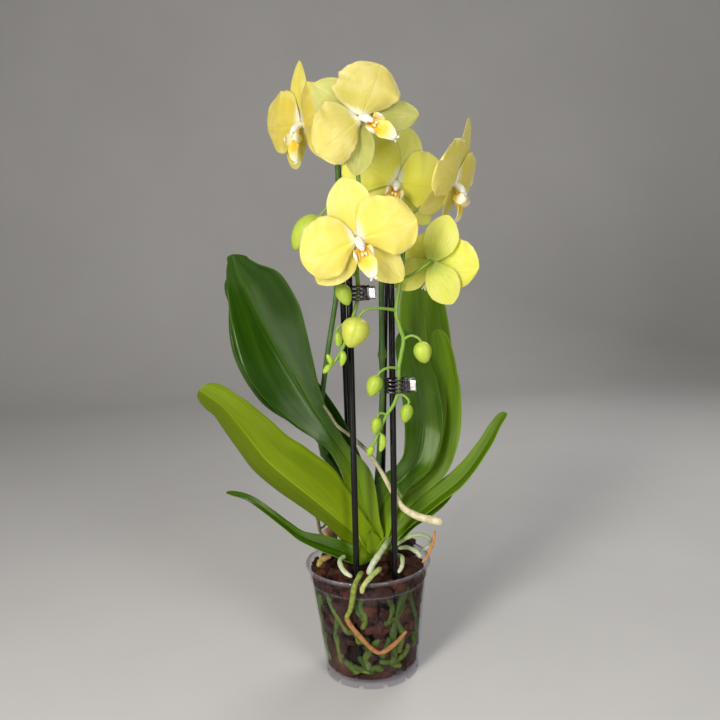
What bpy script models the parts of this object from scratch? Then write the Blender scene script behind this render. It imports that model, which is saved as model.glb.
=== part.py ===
"""Potted moth orchid: a clear nursery pot of bark, two staked flower spikes and their clips.

Metres, +Z up, origin at the centre of the pot's foot. Control points are in millimetres.
"""

import math

import bmesh
import bpy
from mathutils import Matrix, Vector

MM = 0.001

# Pot: a thin clear tapered pot with a rolled lip, a shoulder step and a raised floor.
POT_HEIGHT = 110.5
RIM_RADIUS = 60.0
FOOT_RADIUS = 45.2
FOOT_WIDTH = 2.0
SHOULDER_HEIGHT = 93.0
SHOULDER_RADIUS = 56.6
FLOOR_HEIGHT = 8.2
WALL = 1.1
POT_SEGMENTS = 40
DRAIN_RADIUS = 3.5
DRAIN_RING_RADIUS = 29.0
DRAIN_COUNT = 8
NOTCH_COUNT = 12

GAP = 0.4
STAKE_RADIUS = 2.8
STAKE_BORE_RADIUS = 3.2
STAKE_SIDES = 12

LEAF_THICKNESS = 1.8
TEPAL_THICKNESS = 1.1
SEPAL_PLANE = -1.6
PETAL_PLANE = 1.6
HUB_RADIUS = 4.0

CLIP_FINGERS = 4
CLIP_HEIGHT = 12.6
CLIP_SHEET = 1.0
CLIP_PIN_RADIUS = 0.7
CLIP_KNUCKLE_RADIUS = 2.4
CLIP_BORE_RADIUS = 0.95

# Stakes: name, foot, head.
STAKES = [
    ("stake_left_front", (-13.0, -38.3, 12.0), (-5.5, -39.0, 396.0)),
    ("stake_left_back", (-16.5, 33.0, 12.0), (-12.0, 34.0, 486.0)),
    ("stake_right_front", (22.0, -33.0, 12.0), (31.0, -39.0, 390.0)),
    ("stake_right_back", (9.0, 33.0, 12.0), (29.0, 34.0, 388.0)),
]

# Leaves: stations are x, y, z, left half width, right half width, from the base to the tip.
# The face vectors point out of the upper side at the base and at the tip; the folds are the
# angles by which the left and right halves rise towards that side.
LEAVES = {
    "leaf_left_upper": {
        "stations": [
            (0, -8, 152, 8, 8), (-6, -9, 193, 10, 11), (-21, -7, 221, 10, 9),
            (-32, -5, 239, 14, 10), (-44, -2, 256, 22, 14), (-54, 1, 273, 29, 19),
            (-66, 4, 296, 35, 28), (-78, 6, 320, 35, 37), (-90, 6, 346, 28, 44),
            (-101, 4, 374, 19, 42), (-107, 1, 389, 12, 33), (-110, -1, 401, 6, 18),
            (-111, -2, 407, 2, 2),
        ],
        "face": ((0.1, -0.85, 0.5), (-0.2, -0.97, 0.15)), "fold": (10, 24),
    },
    "leaf_left_back": {
        "stations": [
            (-3, 12, 150, 6, 6), (-13, 20, 190, 10, 9), (-28, 26, 232, 20, 14),
            (-45, 27, 262, 33, 14), (-62, 26, 290, 44, 14), (-80, 24, 330, 44, 20),
            (-97, 20, 370, 25, 20), (-106, 17, 394, 2, 2),
        ],
        "face": ((0.0, -0.95, 0.3), (-0.2, -0.97, 0.1)), "fold": (6, 8),
    },
    "leaf_left_front": {
        "stations": [
            (-4, -13, 134, 9, 9), (-24, -26, 158, 14, 23), (-46, -33, 182, 18, 33),
            (-70, -39, 206, 20, 33), (-88, -42, 226, 21, 29), (-104, -43, 250, 20, 24),
            (-122, -44, 275, 15, 16), (-142, -45, 291, 2, 2),
        ],
        "face": ((0.3, -0.9, 0.35), (0.15, -0.85, 0.5)), "fold": (-58, 4),
    },
    "leaf_left_low": {
        "stations": [
            (-10, -18, 119, 5, 5), (-26, -22, 128, 8, 8), (-42, -25, 136, 9, 9),
            (-60, -28, 145, 6, 6), (-74, -29, 157, 5, 5), (-88, -30, 170, 4.5, 4.5),
            (-107, -30, 185, 4, 4), (-127, -30, 192, 1.5, 1.5),
        ],
        "face": ((0.2, -0.75, 0.6), (0.2, -0.45, 0.85)), "fold": (20, 25),
    },
    "leaf_right_inner": {
        "stations": [
            (13, -3, 158, 7, 7), (24, -5, 181, 10, 10), (38, -3, 193, 12, 12),
            (52, 2, 209, 15, 16), (58, 7, 236, 18, 19), (57, 8, 262, 18, 19),
            (52, 8, 292, 15, 16), (43, 6, 330, 2, 2),
        ],
        "face": ((0.0, -0.97, 0.2), (-0.25, -0.95, 0.05)), "fold": (14, 10),
    },
    "leaf_right_outer": {
        "stations": [
            (16, 3, 147, 7, 7), (34, 9, 170, 10, 9), (54, 13, 182, 13, 13),
            (69, 16, 198, 15, 15), (78, 18, 224, 16, 16), (82, 19, 252, 16, 15),
            (81, 18, 286, 13, 13), (75, 16, 328, 2, 2),
        ],
        "face": ((0.0, -0.95, 0.3), (-0.3, -0.93, 0.1)), "fold": (14, 14),
    },
    "leaf_right_back": {
        "stations": [
            (16, 11, 143, 7, 7), (34, 20, 163, 10, 10), (58, 42, 176, 15, 14),
            (71, 62, 216, 22, 20), (72, 78, 268, 27, 25), (69, 88, 319, 27, 26),
            (67, 94, 364, 20, 20), (65, 96, 402, 2, 2),
        ],
        "face": ((0.0, -0.9, 0.45), (-0.2, -0.97, 0.15)), "fold": (16, 16),
    },
    "leaf_right_low": {
        "stations": [
            (19, -11, 128, 5, 5), (37, -6, 145, 10, 9), (68, 4, 165, 12, 11),
            (91, 8, 181, 12, 11), (106, 12, 196, 11, 10), (119, 16, 213, 9, 9),
            (131, 20, 232, 7, 7), (140, 22, 243, 1.5, 1.5),
        ],
        "face": ((-0.3, -0.6, 0.75), (-0.6, -0.5, 0.6)), "fold": (25, 25),
    },
    "leaf_right_short": {
        "stations": [
            (22, 9, 126, 5, 5), (40, 13, 141, 7, 7), (58, 17, 149, 8, 8),
            (74, 20, 158, 6, 6), (86, 24, 170, 2, 2),
        ],
        "face": ((0.0, -0.8, 0.6), (-0.2, -0.8, 0.55)), "fold": (14, 14),
    },
}

# Roots: x, y, z, radius.
ROOTS = {
    "root_aerial_long": [
        (-35, -9, 265, 1.0), (-29, -14, 257, 1.3), (-22, -20, 247, 1.5), (-8, -24, 236, 1.7),
        (5, -25, 222, 2.0), (16, -27, 204, 2.2), (25, -30, 186, 2.5), (34, -31, 171, 3.2),
        (46, -33, 163, 3.6), (58, -36, 160, 3.7), (70, -37, 157, 3.2),
    ],
    "root_front_thick": [
        (20, -12, 133, 2.4), (19, -21, 134, 2.8), (12, -32, 129, 3.0), (4, -43, 122, 3.1),
        (0, -50, 115, 2.8),
    ],
    "root_over_rim": [
        (11, -44, 118, 2.2), (8, -51, 119, 2.4), (1, -59, 116, 2.4), (-5, -64.5, 111, 2.3),
        (-7, -64, 104, 2.0),
    ],
    "root_outside": [
        (-6, -50, 118, 2.2), (-9, -58, 117, 2.4), (-13, -63, 111, 2.4), (-15, -61, 100, 2.3),
        (-18, -56, 85, 2.2), (-21, -53, 74, 2.2), (-9, -53.8, 56, 2.0), (6, -51.8, 40, 2.0),
        (20, -49.6, 46, 1.9), (33, -43.9, 56, 1.2),
    ],
    "root_front_left": [
        (-21, -30, 126, 1.9), (-26, -38, 125, 2.1), (-23, -46, 119, 2.2), (-15, -51, 114, 1.8),
    ],
    "root_left_stub": [
        (-34, -22, 124, 2.4), (-43, -27, 122, 2.6), (-47, -31, 117, 2.2),
    ],
    "root_right_front": [
        (27, -24, 122, 1.9), (31.5, -31, 123, 2.0), (31, -41, 119, 1.9), (27, -46, 114, 1.7),
    ],
    "root_right_short": [
        (29, -12, 124, 1.9), (38, -11, 124, 2.0), (47, -12, 119, 2.0), (50, -13, 114, 1.7),
    ],
    "root_orange_thin": [
        (64, -17, 142, 1.1), (62, -16, 130, 1.4), (57, -16, 118, 1.3), (51, -16, 110, 1.0),
    ],
    "root_right_loop": [
        (27, -19, 130, 1.8), (38, -21, 138, 2.0), (50, -18, 139, 2.0), (59, -12, 132, 1.9),
        (60, -2, 122, 1.8), (50, 3, 113, 1.6),
    ],
    "root_left_tangle": [
        (-79, 22, 172, 1.0), (-72, 21, 171, 1.2), (-66, 20, 163, 1.4), (-57, 18, 163, 1.5),
        (-50, 14, 160, 1.5), (-47, 10, 148, 1.6), (-44, 6, 134, 1.6), (-36, 4, 124, 1.5),
    ],
}

# Flower spikes: x, y, z, radius, from the base over the arch to the budding tip.
SPIKE_LEFT = [
    (3, 2, 149, 2.6), (-6, 6, 167, 2.6), (-22, 12, 188, 2.6), (-38, 15, 212, 2.6),
    (-41, 15, 235, 2.6), (-37, 14, 268, 2.5), (-28, 11, 318, 2.5), (-16, 6, 378, 2.4),
    (-10, 5, 424, 2.3), (-10, 9, 450, 2.2), (-12, 9, 474, 2.2), (-10, 2, 490, 2.1),
    (-3, -9, 499, 2.1), (2, -18, 497, 2.1), (5, -25, 487, 2.0), (6, -29, 472, 2.0),
    (6, -32, 450, 1.9), (4, -36, 420, 1.9), (1.5, -39.5, 390, 1.8), (1.5, -39.5, 368, 1.8),
    (-5, -46, 346, 1.7), (-14, -47, 323, 1.6), (-23, -46, 310, 1.9), (-27, -45, 306, 3.0),
    (-31, -45, 302, 1.0),
]
SPIKE_RIGHT = [
    (6, 6, 148, 2.6), (9, 9, 163, 2.6), (14, 13, 200, 2.6), (20, 13, 263, 2.6),
    (22, 12, 321, 2.5), (24, 11, 386, 2.4), (28, 15, 415, 2.3), (34, 17, 433, 2.2),
    (38.5, 8, 437, 2.1), (41.5, -6, 434, 2.0), (43, -20, 424, 2.0), (43, -31, 408, 2.0),
    (39, -39, 381, 1.9), (34, -43, 354, 1.9), (36, -43, 341, 1.9), (39.5, -41, 328, 1.8),
    (37, -40, 314, 1.8), (34.5, -39.5, 302, 1.8), (34.5, -38.5, 291, 1.7),
    (34, -39, 283, 1.7), (29, -44, 271, 1.6), (23, -46, 263, 1.6), (19, -46, 256, 1.5),
    (13, -46, 243, 1.4), (8, -46, 233, 2.0), (6.5, -46, 230, 3.2), (4, -46, 225, 1.0),
]

# Side shoots of each spike: a thin pedicel that swells into a bud, or ends behind a flower.
SHOOTS_LEFT = [
    [(4, -27, 460, 1.3), (-10, -26, 456, 1.2), (-25, -22, 442, 1.4), (-33, -21, 434, 8.0),
     (-41, -20, 425, 11.0), (-48, -20, 416, 8.5), (-53, -20, 409, 1.5)],
    [(1, -40, 384, 1.2), (-3, -45, 387, 1.1), (-9, -50, 387, 1.1), (-13, -53, 382, 1.1),
     (-12, -54, 377, 4.6), (-10, -54, 371, 6.4), (-8, -54, 365, 5.0), (-7, -54, 361, 1.0)],
    [(-6, -46, 345, 1.0), (-13, -47, 344, 0.9), (-18, -47, 339, 1.4), (-17, -47, 334, 3.6),
     (-17, -47, 329, 3.2), (-18, -47, 325, 0.9)],
    [(-15, -47, 322, 0.9), (-14, -49, 318, 2.2), (-14, -49, 313, 3.0), (-16, -49, 308, 0.9)],
    [(-24, -46, 309, 1.0), (-25, -48, 314, 2.6), (-28, -49, 318, 0.9)],
    [(4, -24, 491, 1.6), (7, -33, 503, 1.5), (9, -41, 514, 1.5), (9.3, -44.4, 515.7, 1.6)],
    [(-12, 6, 483, 1.6), (-15, 19, 498, 1.5), (-26, 27, 514, 1.5), (-36, 20, 520, 1.5),
     (-39.3, 17.3, 520.3, 1.6)],
    [(3, -38, 402, 1.6), (2, -55, 406, 1.5), (2, -70, 414, 1.5), (2.75, -80.0, 417.2, 1.6)],
]
SHOOTS_RIGHT = [
    [(34, -43, 354, 1.2), (20, -52, 357, 1.1), (8, -58, 357, 1.1), (2, -60, 351, 2.2),
     (0, -61, 347, 8.5), (-2, -61, 340, 11.4), (-5, -61, 333, 9.4), (-8, -61, 326, 1.6)],
    [(39, -41, 328, 1.2), (46, -43, 331, 1.1), (52, -45, 329, 1.1), (55, -46, 325, 2.2),
     (55.5, -46, 321, 6.2), (56, -46, 316, 7.4), (57, -46, 311, 5.8), (57.5, -46, 307, 1.0)],
    [(35, -40, 302, 1.2), (25, -46, 304, 1.1), (18, -48, 301, 1.1), (15, -48, 297, 2.2),
     (13.5, -48, 293, 5.6), (12, -48, 289, 6.6), (10, -48, 284, 5.0), (8.5, -48, 280, 1.0)],
    [(33, -41, 279, 1.1), (38, -46, 278.5, 1.0), (42, -48, 274, 1.0), (41, -48, 269.5, 2.0),
     (40, -48, 266, 4.6), (39, -48, 262, 5.2), (38, -48, 258, 3.6), (37, -48, 255, 0.9)],
    [(22, -46, 262, 1.0), (16, -48, 264, 0.9), (13.5, -50, 260, 1.4), (13, -50, 257, 3.8),
     (12, -50, 253, 4.4), (11, -50, 249, 3.0), (10.5, -50, 246.5, 0.8)],
    [(15, -46, 247, 0.9), (18, -48, 243, 1.6), (17.5, -48, 238, 3.0), (16, -48, 233, 2.4),
     (15, -48, 229.5, 0.8)],
    [(34, 17, 434, 1.6), (39, 24, 449, 1.5), (40, 18, 461, 1.5), (39.7, 11.5, 463.7, 1.6)],
    [(43, -12, 430, 1.6), (62, -13, 443, 1.5), (80, -8.5, 461, 1.5), (87, -10.6, 462.2, 1.6)],
    [(39, -39, 381, 1.5), (48, -49, 384, 1.4), (61, -52, 393, 1.4), (65, -45.2, 395, 1.5)],
]

# Flowers: centre, facing direction, direction of the top sepal, then angle, length, half width
# and lift of each tepal. Angles run clockwise from the top sepal as seen from in front.
FLOWERS = {
    "flower_front": {
        "centre": (3, -83.5, 417), "facing": (0.08, -0.99, -0.05), "up": (-0.19, 0, 0.98),
        "sepals": [(0, 51, 19, -3), (145, 52, 15, -3), (-126, 49, 16, -3)],
        "petals": [(84, 51, 26, 3), (-99, 49, 25, 3)],
    },
    "flower_top": {
        "centre": (10, -48, 516), "facing": (0.22, -0.96, 0.08), "up": (-0.81, 0, 0.59),
        "sepals": [(0, 48, 19, -3), (138, 54, 14, -3), (-122, 46, 14, -3)],
        "petals": [(77, 48, 28, 4), (-72, 48, 24, 3)],
    },
    "flower_left": {
        "centre": (-42, 15, 520), "facing": (-0.75, -0.64, -0.10), "up": (-0.10, 0, 0.99),
        "sepals": [(0, 56, 12, -2), (132, 50, 15, -2), (-132, 50, 15, -2)],
        "petals": [(84, 52, 27, 3), (-82, 54, 28, 3)],
    },
    "flower_middle": {
        "centre": (40, 8, 464), "facing": (0.10, -0.98, 0.10), "up": (0.33, 0, 0.95),
        "sepals": [(0, 54, 17, -4), (122, 48, 14, -6), (-124, 48, 14, -6)],
        "petals": [(80, 50, 28, 3), (-76, 52, 29, 3)],
    },
    "flower_right": {
        "centre": (90, -12, 461), "facing": (0.85, -0.40, -0.35), "up": (0.39, 0.02, 0.92),
        "sepals": [(0, 58, 16, -2), (132, 50, 15, -3), (-132, 50, 15, -3)],
        "petals": [(82, 52, 27, 3), (-82, 55, 28, 3)],
    },
    "flower_behind": {
        "centre": (66, -42, 394), "facing": (0.30, 0.90, -0.30), "up": (0.43, 0.15, 0.89),
        "sepals": [(0, 42, 16, -2), (137, 42, 14, 16), (-130, 44, 15, -2)],
        "petals": [(62, 40, 20, 30), (-80, 42, 21, 3)],
    },
}
# Column and lip in a flower's own frame: right, up, out, radius.
LIP_PATH = [
    (0, 4.5, 15, 1.6), (0, 3.5, 12, 3.0), (0, 1.5, 8.5, 3.2), (0, -2.5, 7.0, 3.2),
    (0, -9, 8.5, 3.8), (0, -16, 11.5, 5.6), (0, -22, 13.5, 4.4), (0, -28, 14, 1.6),
    (0, -31, 13.5, 0.8),
]

# Clips: hinge centre of each, in millimetres. The fingers reach towards -X.
CLIPS = {"clip_upper": (8.5, -39.4, 370.0), "clip_lower": (41.0, -38.2, 286.5)}
# Front jaw in plan from the thumb tab to the finger tips: distance from the hinge, offset.
JAW_PLAN = [
    (-8.0, 5.8), (-4.0, 4.2), (0.0, 3.4), (3.0, 4.2), (7.0, 5.4), (11.0, 5.8), (15.0, 5.2),
    (18.0, 3.2), (19.6, 0.8),
]

# Loose bark on the bed: place, half sizes, turn about each axis in degrees.
CHIPS = [
    ((-37.5, 28.5, 119.5), (8.5, 4.5, 11.5), (4, 5, 53)),
    ((37, 16, 120.5), (9, 7, 3.6), (-12, 14, -20)),
    ((-37, -8, 118.5), (7, 5, 3.0), (6, 10, 70)),
    ((10, -24, 119.8), (6, 5, 2.6), (-8, 4, 40)),
]


def clear_scene():
    for obj in list(bpy.data.objects):
        bpy.data.objects.remove(obj, do_unlink=True)


def new_collection(name, hidden=False):
    made = bpy.data.collections.new(name)
    made.hide_render = hidden
    bpy.context.scene.collection.children.link(made)
    return made


def new_material(name, colour, roughness, metallic=0.0, alpha=1.0):
    made = bpy.data.materials.new(name)
    made.use_nodes = True
    shader = made.node_tree.nodes["Principled BSDF"]
    shader.inputs["Base Color"].default_value = (*colour, 1.0)
    shader.inputs["Roughness"].default_value = roughness
    shader.inputs["Metallic"].default_value = metallic
    shader.inputs["Alpha"].default_value = alpha
    made.diffuse_color = (*colour, alpha)
    return made


def vec_mm(values):
    return Vector(values[:3]) * MM


def through(points, per_span):
    """A Catmull-Rom curve through the points, whose extra values are blended with the place."""
    rows = []
    for i in range(len(points) - 1):
        before = points[max(i - 1, 0)]
        start, end = points[i], points[i + 1]
        after = points[min(i + 2, len(points) - 1)]
        for k in range(per_span):
            t = k / per_span
            rows.append(
                tuple(
                    0.5 * (2 * b + (c - a) * t + (2 * a - 5 * b + 4 * c - d) * t**2
                           + (3 * b - a - 3 * c + d) * t**3)
                    for a, b, c, d in zip(before, start, end, after)
                )
            )
    rows.append(tuple(float(v) for v in points[-1]))
    return rows


def add_object(name, data, collection, material):
    obj = bpy.data.objects.new(name, data)
    collection.objects.link(obj)
    data.materials.append(material)
    return obj


def mesh_object(name, bm, collection, material, smooth=True):
    mesh = bpy.data.meshes.new(name)
    bm.to_mesh(mesh)
    bm.free()
    if smooth:
        mesh.shade_smooth()
        mesh.set_sharp_from_angle(angle=math.radians(40))
    return add_object(name, mesh, collection, material)


def curve_tube(name, rows, collection, material, sides_resolution=1):
    """A round tube on a poly line; each row is x, y, z, radius in millimetres."""
    curve = bpy.data.curves.new(name, "CURVE")
    curve.dimensions = "3D"
    curve.bevel_depth = MM
    curve.bevel_resolution = sides_resolution
    curve.use_fill_caps = True
    spline = curve.splines.new("POLY")
    spline.points.add(len(rows) - 1)
    for point, row in zip(spline.points, rows):
        point.co = (*vec_mm(row), 1.0)
        point.radius = max(row[3], 0.5)
    return add_object(name, curve, collection, material)


def as_mesh(curve_obj, collection, material):
    """The curve object made a mesh object with its caps welded; the curve is removed."""
    name = curve_obj.name
    bpy.context.view_layer.update()
    graph = bpy.context.evaluated_depsgraph_get()
    mesh = bpy.data.meshes.new_from_object(curve_obj.evaluated_get(graph))
    bm = bmesh.new()
    bm.from_mesh(mesh)
    bmesh.ops.remove_doubles(bm, verts=bm.verts, dist=1e-6)
    bm.to_mesh(mesh)
    bm.free()
    place = curve_obj.matrix_world.copy()
    bpy.data.objects.remove(curve_obj, do_unlink=True)
    mesh.name = name
    mesh.materials.clear()
    obj = add_object(name, mesh, collection, material)
    obj.matrix_world = place
    return obj


def add_boolean(obj, other, operation):
    modifier = obj.modifiers.new(f"{operation.lower()}_{other.name}", "BOOLEAN")
    modifier.operation = operation
    modifier.solver = "EXACT"
    modifier.object = other


def add_solidify(obj, thickness, offset=0.0):
    modifier = obj.modifiers.new("thickness", "SOLIDIFY")
    modifier.thickness = thickness * MM
    modifier.offset = offset


def hide_cutter(obj):
    obj.hide_render = True
    obj.display_type = "WIRE"


def add_cylinder(name, start, end, radius, sides, collection, material):
    """A cylinder from start to end, in millimetres."""
    axis = vec_mm(end) - vec_mm(start)
    bm = bmesh.new()
    bmesh.ops.create_cone(
        bm, cap_ends=True, segments=sides, radius1=radius * MM, radius2=radius * MM,
        depth=axis.length,
    )
    obj = mesh_object(name, bm, collection, material)
    obj.rotation_mode = "QUATERNION"
    obj.rotation_quaternion = axis.to_track_quat("Z", "Y")
    obj.location = (vec_mm(start) + vec_mm(end)) / 2
    return obj


def turned(name, profile, collection, material, closed, segments=POT_SEGMENTS):
    """A profile of radius, height turned round Z; a closed profile makes a ring-shaped solid."""
    bm = bmesh.new()
    verts = [bm.verts.new((r * MM, 0, z * MM)) for r, z in profile]
    for a, b in zip(verts, verts[1:]):
        bm.edges.new((a, b))
    if closed:
        bm.edges.new((verts[-1], verts[0]))
    obj = mesh_object(name, bm, collection, material, smooth=False)
    screw = obj.modifiers.new("turn", "SCREW")
    screw.axis = "Z"
    screw.steps = segments
    screw.render_steps = segments
    screw.use_merge_vertices = True
    screw.merge_threshold = 0.00001
    screw.use_smooth_shade = True
    return obj


# ---- pot and bark


def inner_radius(height):
    """Inside radius of the pot's tapered wall below the shoulder."""
    slope = (SHOULDER_RADIUS - 1.4 - FOOT_RADIUS) / (SHOULDER_HEIGHT - FLOOR_HEIGHT)
    return FOOT_RADIUS - WALL + slope * (height - FLOOR_HEIGHT)


def build_pot(parts, cutters, material):
    top, rim = POT_HEIGHT, RIM_RADIUS
    wall_foot = FOOT_RADIUS + 0.4
    wall_top = SHOULDER_RADIUS - 1.4
    profile = [
        (rim - 0.9, top), (rim, top - 0.9), (rim, top - 3.2), (rim - 0.8, top - 4.0),
        (rim - 2.6, top - 4.3), (SHOULDER_RADIUS, SHOULDER_HEIGHT + 2),
        (wall_top, SHOULDER_HEIGHT - 0.5), (wall_foot, FLOOR_HEIGHT), (FOOT_RADIUS, 0),
        (FOOT_RADIUS - FOOT_WIDTH, 0), (FOOT_RADIUS - FOOT_WIDTH, FLOOR_HEIGHT - WALL),
        (DRAIN_RADIUS + 3, FLOOR_HEIGHT - WALL), (DRAIN_RADIUS + 3, FLOOR_HEIGHT),
        (wall_foot - WALL - 1.2, FLOOR_HEIGHT), (wall_foot - WALL, FLOOR_HEIGHT + 1.2),
        (wall_top - WALL, SHOULDER_HEIGHT - 0.3), (SHOULDER_RADIUS - WALL, SHOULDER_HEIGHT + 2.2),
        (rim - 3.6, top - 3.4), (rim - 2.4, top - 0.6), (rim - 1.6, top),
    ]
    pot = turned("pot", profile, parts, material, closed=True)
    for i in range(DRAIN_COUNT):
        angle = 2 * math.pi * (i + 0.5) / DRAIN_COUNT
        x, y = DRAIN_RING_RADIUS * math.cos(angle), DRAIN_RING_RADIUS * math.sin(angle)
        drain = add_cylinder(f"drain_cutter_{i}", (x, y, 4), (x, y, 12), DRAIN_RADIUS, 10,
                             cutters, material)
        hide_cutter(drain)
        add_boolean(pot, drain, "DIFFERENCE")
    for i in range(NOTCH_COUNT):
        angle = 2 * math.pi * (i + 0.5) / NOTCH_COUNT
        bm = bmesh.new()
        bmesh.ops.create_cube(bm, size=MM)
        notch = mesh_object(f"notch_cutter_{i}", bm, cutters, material, smooth=False)
        notch.scale = (8, 5, 7)
        notch.rotation_euler = (0, 0, angle)
        reach = FOOT_RADIUS - FOOT_WIDTH / 2
        notch.location = Vector((reach * math.cos(angle), reach * math.sin(angle), 0)) * MM
        hide_cutter(notch)
        add_boolean(pot, notch, "DIFFERENCE")
    return pot


def build_bark_bed(parts, cutters, material):
    low = FLOOR_HEIGHT + GAP
    profile = [
        (0, 115.5), (12, 115.0), (26, 112.5), (40, 108.5), (50, 103.0), (inner_radius(93) - 0.8, 97),
        (inner_radius(90) - 0.8, 90), (inner_radius(10) - 0.8, 11), (inner_radius(10) - 2.2, low),
        (0, low),
    ]
    bed = turned("bark_bed", profile, parts, material, closed=False, segments=40)
    for name, foot, head in STAKES:
        bore = add_cylinder(f"{name}_bore", (*foot[:2], foot[2] - 1), head, STAKE_BORE_RADIUS, 10,
                            cutters, material)
        hide_cutter(bore)
        add_boolean(bed, bore, "DIFFERENCE")


def build_chips(parts, material):
    for i, (place, half, turn) in enumerate(CHIPS, 1):
        bm = bmesh.new()
        bmesh.ops.create_cube(bm, size=2.0)
        for vert in bm.verts:
            lean = 0.82 if vert.co.z > 0 else 1.0
            vert.co = Vector((vert.co.x * half[0] * lean, vert.co.y * half[1] * lean,
                              vert.co.z * half[2])) * MM
        chip = mesh_object(f"bark_chip_{i}", bm, parts, material, smooth=False)
        bevel = chip.modifiers.new("worn_edges", "BEVEL")
        bevel.width = 1.4 * MM
        bevel.segments = 1
        chip.location = vec_mm(place)
        chip.rotation_euler = [math.radians(a) for a in turn]


def build_stakes(parts, material):
    for name, foot, head in STAKES:
        stake = add_cylinder(name, foot, head, STAKE_RADIUS, STAKE_SIDES, parts, material)
        bevel = stake.modifiers.new("rounded_ends", "BEVEL")
        bevel.width = 0.8 * MM
        bevel.segments = 1
        bevel.angle_limit = math.radians(60)


# ---- plant


def build_blade(name, stations, face, fold, parts, material):
    """A leaf: cross-sections folded along the midrib, lofted from the base to the tip."""
    rows = through(stations, 2)
    count = len(rows)
    across = (-1.0, -0.55, 0.0, 0.55, 1.0)
    base_face, tip_face = (Vector(v).normalized() for v in face)
    bm = bmesh.new()
    grid = []
    for i, row in enumerate(rows):
        place = Vector(row[:3])
        ahead = Vector(rows[min(i + 1, count - 1)][:3]) - Vector(rows[max(i - 1, 0)][:3])
        ahead.normalize()
        facing = base_face.lerp(tip_face, i / (count - 1))
        side = ahead.cross(facing).normalized()
        facing = side.cross(ahead)
        line = []
        for s in across:
            width = row[3] if s < 0 else row[4]
            angle = math.radians(fold[0] if s < 0 else fold[1])
            point = place + side * (width * s * math.cos(angle))
            point += facing * (width * abs(s) ** 1.3 * math.sin(angle))
            line.append(bm.verts.new(point * MM))
        grid.append(line)
    fill_grid(bm, grid)
    obj = mesh_object(name, bm, parts, material)
    add_solidify(obj, LEAF_THICKNESS)
    return obj


def fill_grid(bm, grid):
    for low, high in zip(grid, grid[1:]):
        for j in range(len(low) - 1):
            bm.faces.new((low[j], low[j + 1], high[j + 1], high[j]))


def petal_outline(u):
    """Half width along a petal as a share of the widest: a narrow claw, then nearly round."""
    widest = 0.56
    if u < widest:
        return 0.14 + 0.86 * math.sin(math.pi / 2 * u / widest) ** 1.2
    return max(math.sqrt(1 - ((u - widest) / (1 - widest)) ** 2), 0.15)


def sepal_outline(u):
    """Half width along a sepal as a share of the widest: a long oval with a blunt point."""
    widest = 0.52
    if u < widest:
        return 0.24 + 0.76 * math.sin(math.pi / 2 * u / widest)
    return max((1 - ((u - widest) / (1 - widest)) ** 2) ** 0.7, 0.12)


def tepal_grid(bm, tepal, outline, plane, rows=7, columns=5):
    """Rows of vertices of one sepal or petal in the flower's own frame."""
    angle, length, half_width, lift = tepal
    out = Vector((math.sin(math.radians(angle)), math.cos(math.radians(angle)), 0))
    across = Vector((out.y, -out.x, 0))
    rise = math.radians(lift)
    grid = []
    for i in range(rows + 1):
        u = 1 - (1 - i / rows) ** 1.5
        reach = HUB_RADIUS + (length - HUB_RADIUS) * u
        centre = out * (reach * math.cos(rise)) + Vector((0, 0, plane + reach * math.sin(rise)))
        width = half_width * outline(u)
        line = []
        for j in range(columns):
            s = 2 * j / (columns - 1) - 1
            place = centre + across * (width * s)
            place.z += 0.06 * width * s * s
            line.append(bm.verts.new(place * MM))
        grid.append(line)
    return grid


def build_whorl(name, tepals, outline, plane, place, parts, material):
    """Sepals or petals joined at a small hub, as one sheet with thickness."""
    bm = bmesh.new()
    grids = [tepal_grid(bm, t, outline, plane) for t in sorted(tepals, key=lambda t: t[0] % 360)]
    ring = [vert for grid in grids for vert in grid[0]]
    centre = bm.verts.new((0, 0, plane * MM))
    for a, b in zip(ring, ring[1:] + ring[:1]):
        bm.faces.new((centre, a, b))
    for grid in grids:
        fill_grid(bm, grid)
    bmesh.ops.recalc_face_normals(bm, faces=bm.faces)
    obj = mesh_object(name, bm, parts, material)
    add_solidify(obj, TEPAL_THICKNESS)
    obj.matrix_world = place


def flower_frame(flower):
    """The matrix that takes right, up and out of a flower to the world."""
    out = Vector(flower["facing"]).normalized()
    up = Vector(flower["up"])
    up = (up - out * up.dot(out)).normalized()
    right = up.cross(out)
    turn = Matrix((right, up, out)).transposed().to_4x4()
    return Matrix.Translation(vec_mm(flower["centre"])) @ turn


def build_flowers(parts, sepal, petal, lip):
    for name, flower in FLOWERS.items():
        place = flower_frame(flower)
        build_whorl(f"{name}_sepals", flower["sepals"], sepal_outline, SEPAL_PLANE, place, parts,
                    sepal)
        build_whorl(f"{name}_petals", flower["petals"], petal_outline, PETAL_PLANE, place, parts,
                    petal)
        tube = curve_tube(f"{name}_lip", LIP_PATH, parts, lip)
        tube.matrix_world = place


def nearest_on(rows, point):
    target = Vector(point[:3])
    return min(rows, key=lambda row: (Vector(row[:3]) - target).length)


def build_spike(name, path, shoots, parts, cutters, material):
    rows = through(path, 2)
    spike = as_mesh(curve_tube(name, rows, parts, material), parts, material)
    for i, shoot in enumerate(shoots):
        joined = [(*nearest_on(rows, shoot[0])[:3], shoot[0][3]), *shoot[1:]]
        branch = as_mesh(curve_tube(f"{name}_shoot_{i}", through(joined, 2), cutters, material),
                         cutters, material)
        hide_cutter(branch)
        add_boolean(spike, branch, "UNION")


def build_stem_base(parts, material):
    profile = [(0, 146), (4.5, 145), (7.5, 139), (9.0, 130), (9.5, 121), (7.5, 117), (0, 116)]
    stem = turned("stem_base", profile, parts, material, closed=False, segments=16)
    stem.location = Vector((6, 2, 0)) * MM


# ---- clips


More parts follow.
